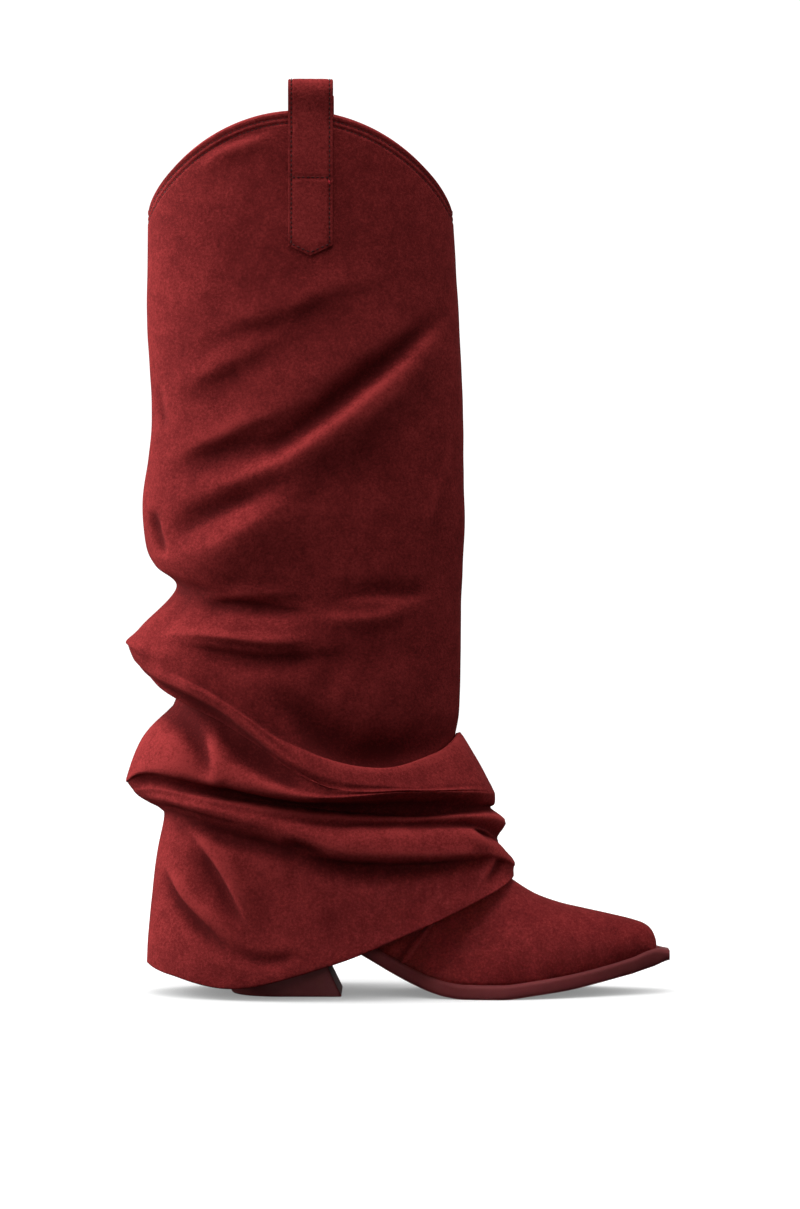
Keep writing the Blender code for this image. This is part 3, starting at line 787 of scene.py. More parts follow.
def new_piece(
    name: str, shape: Shape, finish: Finish, replaces: Sequence[str] = (), shade_and_tone: Array | None = None
) -> bpy.types.Object:
    """Make one closed piece of the boot from points in millimetres, with its normals outwards.

    Args:
        name: The piece's name.
        shape: Its vertices and faces.
        finish: Finish of the whole piece.
        replaces: Nodes of the solid model that the piece stands for.
        shade_and_tone: Tone of each vertex for the finish, about -1 to 1; on the sleeve and the foot it holds painted
            highlight and painted shade.

    Returns:
        The object, riding on the boot.
    """
    vertices, faces = shape
    mesh = bpy.data.meshes.new(name)
    mesh.from_pydata((np.asarray(vertices) * MM).tolist(), [], faces)
    # Tone attribute for the finish: painted highlight and painted shade.
    if shade_and_tone is not None:
        mesh.attributes.new("shade_and_tone", "FLOAT", "POINT").data.foreach_set("value", shade_and_tone.astype(np.float32))
    editor = bmesh.new()
    editor.from_mesh(mesh)
    bmesh.ops.remove_doubles(editor, verts=editor.verts, dist=1e-6)
    bmesh.ops.recalc_face_normals(editor, faces=editor.faces)
    editor.to_mesh(mesh)
    editor.free()
    mesh.shade_smooth()
    mesh.materials.append(finish.material)
    piece = bpy.data.objects.new(name, mesh)
    bpy.context.scene.collection.objects.link(piece)
    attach(piece, "root")
    if replaces:
        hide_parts(*replaces)
    LOG.info("%s: %d faces", name, len(mesh.polygons))
    return piece


@dataclass(frozen=True)
class StitchRow:
    """A row of sunk stitches: small six-sided capsules at an even pitch along a line on a surface."""

    pitch: float
    length: float
    radius: float
    rings: int = 5
    blunt: float = 0.02
    reach: float = 0.4

    def shape(self, line: Array, normals: Array) -> tuple[Array, Array]:
        """Points and faces of the row.

        Each capsule is a ring of points swept along the line's tangent, its radius the half circle
        root(1 - s squared) of the distance s from the stitch's middle.

        Args:
            line: Points of the line.
            normals: Surface normals at the points.

        Returns:
            Vertices and quads of all the stitches.
        """
        run = line_run(line)

        def at(table: Array, where: Array) -> Array:
            """Rows of a table at distances along the line."""
            return np.stack([np.interp(where, run, column) for column in table.T], -1)

        count = max(1, int(np.linalg.norm(np.diff(line, axis=0), axis=1).sum() / self.pitch))
        middle = (np.arange(count) + 0.5) * run[-1] / count
        tangent = unit(at(line, middle + self.reach) - at(line, middle - self.reach))
        up = at(normals, middle)
        up = unit(up - tangent * (up * tangent).sum(-1, keepdims=True))
        aside = np.cross(tangent, up)
        s = np.linspace(-1.0, 1.0, self.rings)
        wide = self.radius * np.sqrt(np.maximum(1.0 - s**2, self.blunt))
        turn = circle(6)
        offset = (
            0.5 * self.length * s[None, :, None, None] * tangent[:, None, None, :]
            + (wide[:, None] * np.cos(turn))[None, :, :, None] * aside[:, None, None, :]
            + (wide[:, None] * np.sin(turn))[None, :, :, None] * up[:, None, None, :]
        )
        vertices = (at(line, middle)[:, None, None, :] + offset).reshape(-1, 3)
        cap = np.array([[0, 1, 2, 3], [0, 3, 4, 5]])
        last = (self.rings - 1) * turn.size
        quads = np.concatenate([grid_quads(self.rings, turn.size, around=True), cap, cap + last])
        first = np.arange(count)[:, None, None] * self.rings * turn.size
        return vertices, (first + quads[None]).reshape(-1, 4)

    def lay(self, name: str, lines: Sequence[tuple[Array, Array]], lift: float, finish: Finish) -> None:
        """Sew several rows as one piece.

        Args:
            name: The piece's name.
            lines: Points and normals of each line.
            lift: Height of the stitches' middles above the lines.
            finish: Finish of the thread.
        """
        shapes = [self.shape(line + lift * normals, normals) for line, normals in lines]
        starts = np.cumsum([0, *(len(vertices) for vertices, _ in shapes[:-1])])
        faces = np.concatenate([quads + start for start, (_, quads) in zip(starts, shapes)])
        new_piece(name, (np.concatenate([vertices for vertices, _ in shapes]), faces.tolist()), finish)


@dataclass
class Sleeve:
    """The loose outer shaft: one sheet turned over the collar, slouched in folds, its hem free."""

    wall: float = 1.6
    flat: Spot = (0.50, 0.56)
    collar_power: float = 1.46
    collar_drop: float = 1.2
    facing_depth: float = 9.0
    facing_inset: float = 4.5
    facing_back: float = 3.9
    roll_height: float = 2.6
    roll_rows: int = 11
    roll_edge: int = 3
    roll_tone: float = 0.9
    under_height: float = 1.0
    hem_round: float = 0.9
    rows: int = 334
    sewn_rows: int = 22
    sewn_depth: float = 11.0
    first_place: float = 0.06
    behind_step: float = 0.5
    behind_gap: float = 0.2
    oval: Spot = (93.0, 49.0)
    outer_columns: int = 148
    inner_columns: int = 70
    seam_columns: int = 9
    seam_spread: float = 0.9
    seam_depth: float = 0.9
    seam_width: float = 0.9
    seam_ridge: float = 0.45
    seam_ridge_at: Spot = (2.4, 1.1)
    stitch_row: StitchRow = StitchRow(2.6, 1.9, 0.3)
    stitch_depths: tuple[float, ...] = (3.0, 6.2)
    stitch_groove: float = 0.45
    stitch_width: float = 0.8
    stitch_lift: float = 0.05
    ripple: float = 0.28
    ripple_seed: int = 11
    ripple_count: int = 28
    ripple_lengths: Spot = (16.0, 70.0)
    loose_rows: Spot = (0.3, 2.4)
    crease_stops: int = 56
    crease_smoothing: int = 30
    crease_fade: float = 0.42
    zone_fade: float = 0.6
    side_fade: float = 8.0
    calf_room: float = 4.4
    fold_room: float = 10.0
    fold_rows: Spot = (8.0, 10.5)
    inner_move: Spot = (7.0, -9.0)
    inner_share: float = 0.85
    ease_back: float = 0.5
    ease_front: float = 0.6
    ease_power: float = 1.5
    relief_rounds: int = 14
    relief_full: float = 1.2
    # Painted shade in deep creases, per millimetre of trough.
    crease_painted_shade: float = 0.15
    relief_range: Spot = (-1.3, 1.0)

    def turns(self) -> Array:
        """Angles of the columns about the leg.

        Returns:
            Angles from the front seam over the inner side, close together at both seams.
        """
        near = np.linspace(-0.5, 0.5, self.seam_columns) * math.radians(self.seam_spread * self.seam_columns)
        fine = np.linspace(near[-1], math.pi + near[0], 400)
        oval = np.stack([self.oval[0] * np.cos(fine), self.oval[1] * np.sin(fine)], -1)
        inner, outer = (
            np.interp(even_stops(oval, count + 2)[1:-1], np.arange(len(fine)), fine)
            for count in (self.inner_columns, self.outer_columns)
        )
        return np.concatenate([near, inner, near + math.pi, outer + math.pi])

    def loft(self, place: Array, turn: Array) -> Array:
        """Sleeve through its fold rings, before creases.

        Each ring is an ellipse in plan, fuller at the front by its exponent; its height is a closed smooth
        curve through the twelve heights round the leg. Ring sizes are smooth curves down the table.

        Args:
            place: Fractional ring numbers.
            turn: Angles about the leg, 0 at the front, a quarter turn at the inner side.

        Returns:
            Points as rings x angles x 3.
        """
        rings = along([ring[1:] for ring in FOLD_RINGS], place)
        back, front, half, full = (column[:, None] for column in rings[:, :4].T)
        outer = rings[:, 4:11]
        inner = outer + rings[:, 11:12] * np.sin(np.linspace(0.0, math.pi, outer.shape[1]))
        heights = np.concatenate([inner[:, ::-1], outer[:, 1:-1]], axis=1)
        closed = np.concatenate([heights[:, -2:], heights, heights[:, :3]], axis=1)
        column = 2.0 + (turn % TURN) / (TURN / heights.shape[1])
        z = along(closed.T, column).T
        edge = self.collar_level(turn) - along(closed[:1].T, column).T
        z = z + np.clip(1.0 - place, 0.0, 1.0)[:, None] ** 2 * (edge if place[0] < 1.0 else 0.0)
        power = np.where(np.cos(turn)[None, :] > 0, full, 1.0)
        x = 0.5 * (back + front) + 0.5 * (front - back) * np.cos(turn)[None, :]
        return np.stack([x, half * signed_power(np.sin(turn)[None, :], power), z], axis=-1)

    def collar_level(self, turn: Array) -> Array:
        """Height of the collar's edge: high at the sides, dipped at the seams as a power of the sine."""
        collar = FOLD_RINGS[0]
        return collar.z_back + (collar.z_side - collar.z_back) * np.abs(np.sin(turn)) ** self.collar_power

    def cloth_places(self) -> Array:
        """Rows of the folded face, at even distances along the cloth by the mean of its lines.

        Returns:
            Fractional ring numbers, closer together at the collar.
        """
        fine = np.linspace(self.first_place, len(FOLD_RINGS) - 1.0, 900)
        points = self.loft(fine, circle(24))
        step = np.linalg.norm(np.diff(points, axis=0), axis=2).mean(axis=1)
        run = np.concatenate([[0.0], np.cumsum(step)])
        collar = np.linspace(0.0, self.sewn_depth, self.sewn_rows, endpoint=False)
        rest = np.linspace(self.sewn_depth, run[-1], self.rows - self.sewn_rows)
        return np.interp(np.concatenate([collar, rest]), run, fine)

    def collar_distance(self, grid: Array, turn: Array) -> Array:
        """Distance of points below the collar's edge, square to the edge's slope.

        Args:
            grid: The loft's points.
            turn: Angle of each column.

        Returns:
            One distance for each point.
        """
        around = np.linspace(-0.1, TURN + 0.1, 1400)
        edge = self.loft(np.array([0.0]), around)[0]
        run = np.hypot(np.gradient(edge[:, 0]), np.gradient(edge[:, 1]))
        slope = np.interp(turn % TURN, around, np.gradient(self.collar_level(around)) / run)
        return (self.collar_level(turn) - grid[..., 2]) / np.sqrt(1.0 + slope**2)

    def crease_height(self, crease: Crease, points: Array, move: Spot) -> Array:
        """Height of one crease at points of the side view.

        Args:
            crease: The crease.
            points: X and Z of the points, one a row.
            move: Move of the crease's line.

        Returns:
            The bell curve of the signed distance from the line, faded at the line's two ends.
        """
        rough = np.array(crease.path, float) + move
        line = along(rough, even_stops(rough, self.crease_stops))
        for _ in range(self.crease_smoothing):
            soften(line)
        apart = points[:, None, :] - line[None, :, :]
        near = np.argmin((apart**2).sum(axis=-1), axis=1)
        apart = apart[np.arange(len(points)), near]
        direction = unit(np.gradient(line, axis=0))[near]
        ahead = (apart * direction).sum(axis=-1)
        aside = direction[:, 0] * apart[:, 1] - direction[:, 1] * apart[:, 0]
        spacing = np.linalg.norm(line[1] - line[0])
        t = (near + ahead / spacing) / (len(line) - 1)
        fade = smoothstep(np.minimum(t, 1.0 - t), 0.0, self.crease_fade)
        return crease.rise * fade * bell(aside, np.where(aside > 0, crease.above, crease.below))

    def creases(self, grid: Array, place: Array) -> Array:
        """Sum of the listed creases on the outer side and of the same, moved, on the inner side.

        Args:
            grid: The loft's points.
            place: Ring number of each row.

        Returns:
            Height for each point; troughs level off before they use up the room behind the sleeve.
        """
        height = np.zeros(grid.shape[:2])
        for zone, creases in CREASES.items():
            start, end = zone.value
            stay = smoothstep(place, start, start + self.zone_fade)
            stay = stay * (1.0 - smoothstep(place, end - self.zone_fade, end))
            rows = np.flatnonzero(stay > 0)
            some = grid[rows]
            flat = some[..., [0, 2]].reshape(-1, 2)
            outer = smoothstep(-some[..., 1], -self.side_fade, self.side_fade)
            for crease in creases:
                here = self.crease_height(crease, flat, (0.0, 0.0)).reshape(outer.shape)
                there = self.crease_height(crease, flat, self.inner_move).reshape(outer.shape)
                height[rows] += stay[rows, None] * (outer * here + self.inner_share * (1.0 - outer) * there)
        room = self.calf_room + (self.fold_room - self.calf_room) * smoothstep(place, *self.fold_rows)[:, None]
        return np.where(height < 0, room * np.tanh(height / room), height)

    def ripples(self, grid: Array) -> Array:
        """Slight unevenness of the cloth: plane waves of seeded directions and lengths, summed.

        Args:
            grid: Points of the cloth.

        Returns:
            One height for each point.
        """
        rng = np.random.default_rng(self.ripple_seed)
        short, long = self.ripple_lengths
        length = np.exp(rng.uniform(math.log(short), math.log(long), self.ripple_count))
        waves = TURN * unit(rng.normal(size=(self.ripple_count, 3))) / length[:, None]
        phase = rng.uniform(0.0, TURN, self.ripple_count)
        return (np.sin(grid @ waves.T + phase) * (length / long)).sum(axis=-1) / math.sqrt(0.25 * self.ripple_count)

    def seams(self, turn: Array) -> Array:
        """Sewn groove down the front and the back: a narrow trough between two low ridges.

        Args:
            turn: Angles about the leg.

        Returns:
            One height for each angle, about -1 in the middle of a groove.
        """
        apart = np.abs((turn + QUARTER) % math.pi - QUARTER) / math.radians(self.seam_width)
        ridge_at, ridge_width = self.seam_ridge_at
        return -bell(apart, 1.0) + self.seam_ridge * bell(apart - ridge_at, ridge_width)

    def outer_face(self, place: Array, turn: Array) -> tuple[Array, Array, Array]:
        """The folded face with its creases, ripples and seams, the painted highlight and shade that the finish reads,
        the face behind.

        Args:
            place: Ring number of each row.
            turn: Angle of each column.

        Returns:
            The points; the painted highlight and shade, each point's height above the mean of its surroundings, darker
            still in deep creases, within its range; and the points of the face behind, a wall's thickness under the
            deepest crease nearby.
        """
        base = self.loft(place, turn)
        normals = grid_normals(base)
        outwards = plan_normals(base)
        loose = smoothstep(place, *self.loose_rows)[:, None]
        ahead = np.cos(turn)
        ease = np.where(ahead > 0, self.ease_front, self.ease_back) * np.abs(ahead) ** self.ease_power
        height = self.ripple * (0.25 + 0.75 * loose) * self.ripples(base)
        height += self.seam_depth * self.seams(turn)[None, :]
        down = self.collar_distance(base, turn)
        for depth in self.stitch_depths:
            height -= self.stitch_groove * bell(down - depth, self.stitch_width)
        creases = self.creases(base, place)
        troughs = np.minimum(creases, 0.0)
        face = base + normals * height[..., None] + outwards * (creases + ease)[..., None]
        low = troughs
        for step in (1, 2, 4, 6):
            low = np.minimum(low, np.minimum(np.roll(low, step, axis=1), np.roll(low, -step, axis=1)))
            low[step:-step] = np.minimum(low[step:-step], np.minimum(low[2 * step :], low[: -2 * step]))
        behind = base - normals * (self.wall + self.behind_gap) + outwards * (low + ease)[..., None]
        mean = face.copy()
        for _ in range(self.relief_rounds):
            soften(mean)
            mean = 0.5 * mean + 0.25 * (np.roll(mean, 1, axis=1) + np.roll(mean, -1, axis=1))
        # Painted highlight on ridges and painted shade in troughs, from each point's height above the smoothed face;
        # deep creases get more painted shade.
        above = ((face - mean) * grid_normals(mean)).sum(axis=-1)
        return face, np.clip(above / self.relief_full + self.crease_painted_shade * troughs, *self.relief_range), behind

    def build(self) -> None:
        """Sheet as a ring of rows: collar facing, collar roll, folded face, hem and the face behind."""
        turn = self.turns()
        place = self.cloth_places()
        face, shade_and_tone, behind = self.outer_face(place, turn)
        inwards = -grid_normals(face)
        collar = self.loft(np.array([0.0]), turn)[0]
        plan = -plan_normals(collar)
        base = collar - self.collar_drop * UP

        def arch(angle: float, inner: float, outer: float, rise: float) -> Array:
            """Row of the collar roll at an angle, from the sleeve's face at 0 to the facing at a half turn."""
            inset = outer + (inner - outer) * 0.5 * (1.0 - math.cos(angle))
            return base + plan * inset + UP * rise * math.sin(angle)

        sink = np.linspace(self.facing_depth, 0.0, 4)[:-1]
        facing = [base + plan * self.facing_inset - UP * depth for depth in sink]
        roll_turn = np.linspace(math.pi, 0.0, self.roll_rows)
        roll = [arch(angle, self.facing_inset, 0.0, self.roll_height) for angle in roll_turn]
        hem = [
            face[-1] + inwards[-1] * 0.5 * self.wall * (1.0 - math.cos(angle)) - UP * self.hem_round * math.sin(angle)
            for angle in np.linspace(0.0, math.pi, 6)[1:-1]
        ]
        kept = np.searchsorted(place, np.arange(0.5, len(FOLD_RINGS) - 1.0, self.behind_step))[::-1]
        first, last = (face[row] + inwards[row] * self.wall for row in (0, -1))
        under = [arch(angle, self.facing_back, self.wall, self.under_height) for angle in np.linspace(0.0, math.pi, 5)]
        lower = [base + plan * self.facing_back - UP * depth for depth in sink[::-1]]
        grid = np.concatenate([facing, roll, face, hem, [last], behind[kept], [first], under, lower])
        start = len(facing) + len(roll)
        # Tone attribute: lighter on the collar roll; on the face, painted highlight on ridges and painted shade in
        # troughs.
        tone = np.zeros(grid.shape[:2])
        tone[len(facing) + self.roll_edge : start] = self.roll_tone
        tone[start : start + len(face)] = shade_and_tone
        faces = grid_quads(len(grid), len(turn), around=True, over=True).tolist()
        piece = new_piece("slouch_sleeve", (grid.reshape(-1, 3), faces), SUEDE, ["slouch_shaft"], tone.ravel())

    def collar_line(self, depth: float) -> tuple[Array, Array]:
        """Line round the collar at a distance below its edge, on the finished face, and its normals.

        Args:
            depth: Distance from the edge.

        Returns:
            Points and normals of the closed line.
        """
        turn = np.linspace(0.0, TURN, 481)
        place = np.linspace(0.0, 0.6, 50)
        face, _, _ = self.outer_face(place, turn)
        row = np.clip((self.collar_distance(face, turn) < depth).sum(axis=0), 0, len(place) - 1)
        column = np.arange(len(turn))
        return face[row, column], grid_normals(face, around=False)[row, column]

    def build_stitches(self) -> None:
        """Rows of stitches in the grooves below the collar's edge."""
        lines = [self.collar_line(depth) for depth in self.stitch_depths]
        self.stitch_row.lay("collar_stitches", lines, self.stitch_lift, THREAD)


@dataclass
class Sole:
    """Outsole, block heel and insole board."""

    heel_end: float = -56.0
    toe_end: float = 230.0
    round_x: float = -15.0
    round_half: float = 31.0
    rest_start: float = 106.0
    rest_end: float = 130.0
    bevel: float = 1.8
    bevel_power: float = 1.3
    end_round: float = 0.5
    low_round: float = 0.7
    edge_swell: float = 0.25
    tread_pitch: float = 5.0
    tread_depth: float = 0.6
    tread_margin: float = 5.0
    tread_start: Spot = (78.0, 84.0)
    tread_end: Spot = (214.0, 218.0)
    station_step: float = 1.25
    heel_stations: int = 26
    fit_gap: float = 0.3
    insole_ply: float = 2.5
    insole_inset: float = 2.9
    insole_heel: float = 5.5
    insole_toe: float = 16.0
    insole_heel_inset: float = 4.4
    insole_power: float = 0.35
    heel_back_foot: float = -32.0
    heel_breast_foot: float = 34.0
    heel_breast_top: float = 16.0
    heel_foot_half: float = 26.5
    heel_foot_round: float = 30.0
    heel_seat_round: float = 40.0
    heel_seat_inset: float = 0.8
    heel_corner: float = 1.6
    heel_waist: float = 0.015
    heel_levels: int = 26
    heel_edge: float = 1.1
    heel_edge_share: float = 0.024

    def at(self, x: Array) -> Array:
        """Sole stations at any distances along the foot, the heel end rounded to half an ellipse.

        Args:
            x: Distances along the foot.

        Returns:
            One row of station values for each distance.
        """
        table = np.array(SOLE_STATIONS, float)
        row = along(table, np.interp(x, table[:, 0], np.arange(len(table))))
        flat = (x >= self.rest_start) & (x <= self.rest_end)
        row[:, 3] = np.where(flat, 0.0, np.maximum(row[:, 3], 0.0))
        half = self.heel_round(x, self.heel_end, self.round_half)
        row[:, 1:3] = np.where((x < self.round_x)[:, None], half[:, None], row[:, 1:3])
        row[:, 0] = x
        return row

    def heel_round(self, x: Array, end: float, half: float) -> Array:
        """Half widths of the round heel end: half an ellipse from its end to its full half width."""
        reach = np.clip((self.round_x - x) / (self.round_x - end), 0.0, 1.0)
        return half * np.sqrt(1.0 - reach**2)

    def top(self, x: Array) -> Array:
        """Height of the sole's upper face."""
        row = self.at(x)
        return row[:, 3] + row[:, 4]

    def stations(self, start: float, end: float) -> Array:
        """Distances along the foot, close together where the heel end turns round.

        Args:
            start: Distance of the heel end.
            end: Distance of the toe end.

        Returns:
            The distances, from heel to toe.
        """
        turn = np.linspace(0.05, QUARTER, self.heel_stations)
        heel = self.round_x - (self.round_x - start) * np.cos(turn)
        count = round((end - self.round_x) / self.station_step)
        return np.concatenate([heel, np.linspace(self.round_x, end, count + 1)[1:]])

    def build_outsole(self) -> None:
        """Carry a section with rounded edges along the foot; the underside has fine cross ribs.

        Going round the section: up the outer edge, over a slanted bevel, across the top, down the inner
        edge and back across the underside, where a rectified sine of X cuts the ribs.
        """
        x = self.stations(self.heel_end, self.toe_end)
        x = np.concatenate([x, x[-1:]])
        outer, inner, low, thick = (column[:, None] for column in self.at(x)[:, 1:5].T)
        x = x[:, None]
        end = np.zeros(x.shape)
        end[[0, -1]] = self.end_round
        outer, inner = outer - end, inner - end
        low, top = low + end, low + thick - end
        bevel = np.minimum(self.bevel, 0.4 * outer)
        edge = np.linspace(0.0, 1.0, 7)[None, :]
        turn = QUARTER * np.linspace(0.0, 1.0, 4)[None, :]
        small = self.low_round
        round_y, round_z = small * (1.0 - np.sin(turn)), small * (1.0 - np.cos(turn))
        wall = low + small + (top - bevel - low - small) * edge
        slope = np.linspace(0.0, 1.0, 4)[None, 1:]
        swell = self.edge_swell * np.sin(math.pi * edge)
        out_y = np.concatenate([round_y[:, ::-1] + 0 * low, -swell + 0 * low, bevel * slope**self.bevel_power], axis=1)
        out_z = np.concatenate([low + round_z, wall, top - bevel * (1.0 - slope)], axis=1)
        across = np.linspace(0.0, 1.0, 24)[None, 1:-1]
        bottom_y = inner - small + (-outer - inner + 2 * small) * across
        inside = np.minimum(bottom_y + outer, inner - bottom_y)
        rib = np.maximum(0.0, np.sin(TURN * x / self.tread_pitch))
        where = smoothstep(inside, self.tread_margin, self.tread_margin + 1.0) * smoothstep(x, *self.tread_start)
        bottom_z = low + self.tread_depth * np.sqrt(rib) * where * (1.0 - smoothstep(x, *self.tread_end))
        y = np.concatenate([-outer + out_y, (inner - out_y)[:, ::-1], bottom_y], axis=1)
        z = np.concatenate([out_z, out_z[:, ::-1], bottom_z], axis=1)
        new_piece("outsole_moulded", tube_shape(x, y, z), SOLE_MOULDING, ["outsole"])

    def build_insole(self) -> None:
        """Thin board over the outsole, its section a flat oval with round edges."""
        start = self.heel_end + self.insole_heel
        x = self.stations(start, self.toe_end - self.insole_toe)
        row = self.at(x)
        inset = row[:, 5] + self.insole_inset
        heel_half = self.heel_round(x, start, self.round_half - self.insole_heel_inset)
        outer, inner = (np.where(x < self.round_x, heel_half, row[:, side] - inset)[:, None] for side in (1, 2))
        turn = circle(48)[None, :]
        flat, round_z = signed_power(np.cos(turn), self.insole_power), signed_power(np.sin(turn), self.insole_power)
        y = 0.5 * (inner - outer) + 0.5 * (inner + outer) * flat
        z = (row[:, 3] + row[:, 4] + self.fit_gap)[:, None] + 0.5 * self.insole_ply * (1.0 + round_z)
        new_piece("insole_board", tube_shape(x[:, None], y, z), CLOTH, ["insole"])

    def heel_plan(self, back: float, breast: float, half: float, length: float) -> Array:
        """Plan of the heel: round back, straight sides and a straight breast with rounded corners.

        Args:
            back: X of the back.
            breast: X of the breast.
            half: Half width.
            length: Length of the round back.

        Returns:
            X and Y of the closed plan, one point a row.
        """
        turn = np.linspace(-QUARTER, QUARTER, 41)
        arc = np.stack([back + length * (1.0 - np.cos(turn)), half * np.sin(turn)], -1)
        corner = QUARTER * np.linspace(0.0, 1.0, 6)
        radius = self.heel_corner
        upper = np.stack([breast - radius + radius * np.sin(corner), half - radius + radius * np.cos(corner)], -1)
        side_x = np.linspace(back + length, breast - radius, 12)[1:-1]
        side = np.stack([side_x, np.full(len(side_x), half)], -1)
        front_y = np.linspace(half - radius, -half + radius, 16)[1:-1]
        front = np.stack([np.full(len(front_y), breast), front_y], -1)
        flip = np.array([1.0, -1.0])
        return np.concatenate([arc, side, upper, front, upper[::-1] * flip, side[::-1] * flip])

    def build_heel(self) -> None:
        """Slanted block: plans blended from the rest face up to the slope of the sole, with round lower edge."""
        seat_half = self.round_half - self.heel_seat_inset
        seat_back = self.heel_end + self.heel_seat_inset
        seat = self.heel_plan(seat_back, self.heel_breast_top, seat_half, self.heel_seat_round)
        edge = np.minimum(*self.at(seat[:, 0])[:, 1:3].T) - self.heel_seat_inset
        seat[:, 1] = np.clip(seat[:, 1], -edge, edge)
        foot = self.heel_plan(self.heel_back_foot, self.heel_breast_foot, self.heel_foot_half, self.heel_foot_round)
        rounding = [0.0, 0.004, 0.012, self.heel_edge_share]
        level = np.concatenate([rounding, np.linspace(0.04, 1.0, self.heel_levels)])[:, None]
        waist = 1.0 - self.heel_waist * np.sin(math.pi * level)
        turned = np.clip(level / self.heel_edge_share, 0.0, 1.0)
        shrink = self.heel_edge * (1.0 - np.sqrt(1.0 - (1.0 - turned) ** 2))
        plan = (foot + (seat - foot) * level[..., None]) * waist[..., None]
        plan -= unit(plan - foot.mean(axis=0)) * shrink[..., None]
        shape = tube_shape(plan[..., 0], plan[..., 1], self.at(seat[:, 0])[:, 3] * level)
        new_piece("heel_moulded", shape, HEEL_MOULDING, ["heel"])


@dataclass
class Upper:
    """Foot and inner shaft of suede with a cloth lining, on the sole's feather line.

    The four seam spots are a place, in sections from the seam, and a width.
    """

    sole: Sole
    wall: float = 1.7
    lining_gap: float = 0.12
    lining_ply: float = 0.6
    vamp_ply: float = 0.8
    feather_sink: float = 0.25
    bulge: float = 1.012
    peak: float = 1.12
    collar_power: float = 1.46
    seam_row: float = 11.12
    seam_rise: float = 1.5
    seam_sink: float = 1.1
    seam_low_share: float = 0.6
    cord: Spot = (-0.06, 0.045)
    groove: Spot = (0.05, 0.05)
    cord_painted_highlight: Spot = (-0.06, 0.05)
    groove_painted_shade: Spot = (0.06, 0.06)
    seam_tone: float = 0.8
    edge_columns: float = 0.8
    toe_rows: float = 3.0
    shaft_rows: int = 60
    side_points: int = 44

    def foot_rows(self) -> Array:
        """Foot sections of the rows.

        Returns:
            Fractional section numbers from toe to heel, close together at the vamp's cut edge.
        """
        vamp = np.linspace(0.0, self.seam_row - 0.35, 66)
        seam = np.linspace(self.seam_row - 0.3, self.seam_row + 0.2, 34)
        heel = np.linspace(self.seam_row + 0.3, len(FOOT_SECTIONS) - 1.0, 40)
        return np.concatenate([vamp, seam, heel])

    def by_seam(self, spot: Spot) -> Array:
        """Bell curve about a spot by the side seam, for each foot section."""
        return bell(self.foot_rows() - self.seam_row - spot[0], spot[1])

    def sections(self) -> tuple[Array, int]:
        """Low and top points, middle, half widths and rise of all sections, foot first, then shaft.

        Returns:
            One row of eight values for each section, and how many rows are the foot's.
        """
        place = self.foot_rows()
        table = along(FOOT_SECTIONS, place)
        sole = self.sole.at(table[:, 0])
        at_toe = np.clip(1.0 - place / self.toe_rows, 0.0, 1.0)
        low_z = sole[:, 3] + sole[:, 4] - self.feather_sink
        low_half = 0.5 * (sole[:, 1] + sole[:, 2]) - sole[:, 5]
        middle = 0.5 * (sole[:, 2] - sole[:, 1])
        half = np.maximum(low_half * (1.0 + (self.bulge - 1.0) * (1.0 - at_toe)), table[:, 3])
        ply = self.vamp_ply * smoothstep(place, self.toe_rows, self.toe_rows + 1.5)
        ply *= 1.0 - smoothstep(place, self.seam_row - 0.02, self.seam_row + 0.02)
        ridge = self.seam_rise * self.by_seam(self.cord)
        groove = -self.seam_sink * self.by_seam(self.groove)
        half, low_half = half + ply + ridge + groove, low_half + ply + self.seam_low_share * (ridge + groove)
        top_z = np.where(place > 0, table[:, 2], self.sole.top(table[:, 1])) + ridge + groove
        none = np.zeros(len(place))
        foot = np.column_stack([table[:, 0], low_z, table[:, 1], top_z, middle, half, low_half, none])
        ring = along(SHAFT_RINGS, np.linspace(0.0, len(SHAFT_RINGS) - 1.0, self.shaft_rows))
        none = np.zeros(len(ring))
        shaft = np.column_stack([ring[:, :4], none, ring[:, 4], none, ring[:, 5]])
        return np.concatenate([foot, shaft]), len(foot)

    def shade_and_tone(self, count: int, columns: int) -> Array:
        """Tone of the outer face: painted highlight on the seam's cord, painted shade in the groove beside it, and
        darker along the sole.

        Args:
            count: Number of sections.
            columns: Number of points round a section.

        Returns:
            Values from -1 to 1 as sections x columns.
        """
        # Painted highlight on the seam's cord and painted shade in its groove.
        cord = self.by_seam(self.cord_painted_highlight) - self.by_seam(self.groove_painted_shade)
        number = np.arange(columns)
        edge = bell(np.minimum(number, columns - 1 - number), self.edge_columns)
        tone = np.zeros((count, columns))
        tone[: len(cord)] = np.clip(self.seam_tone * cord[:, None] - edge, -1.0, 1.0)
        return tone

    def inset(self, rows: Array, foot_count: int, depth: float) -> Array:
        """The same sections further in: ridge, feather line and back seam move along their normals.

        Args:
            rows: The sections.
            foot_count: How many of them are the foot's.
            depth: How far in.

        Returns:
            The inset sections.
        """
        inner = rows.copy()
        ridge = unit(np.gradient(rows[:, 2:4], axis=0))
        inner[:, 2] -= depth * ridge[:, 1]
        inner[:, 3] += depth * ridge[:, 0]
        inner[:, 5] = np.maximum(inner[:, 5] - depth, 0.5)
        foot = slice(0, foot_count)
        edge = unit(np.gradient(rows[foot][:, [0, 6]], axis=0))
        inner[foot, 0] -= depth * edge[:, 1]
        inner[foot, 6] = np.clip(inner[foot, 6] + depth * edge[:, 0], 0.0, inner[foot, 5])
        inner[foot, 1] += self.sole.top(inner[foot, 0]) - self.sole.top(rows[foot, 0])
        back = unit(np.gradient(rows[foot_count:, :2], axis=0))
        inner[foot_count:, 0] += depth * back[:, 1]
        return inner

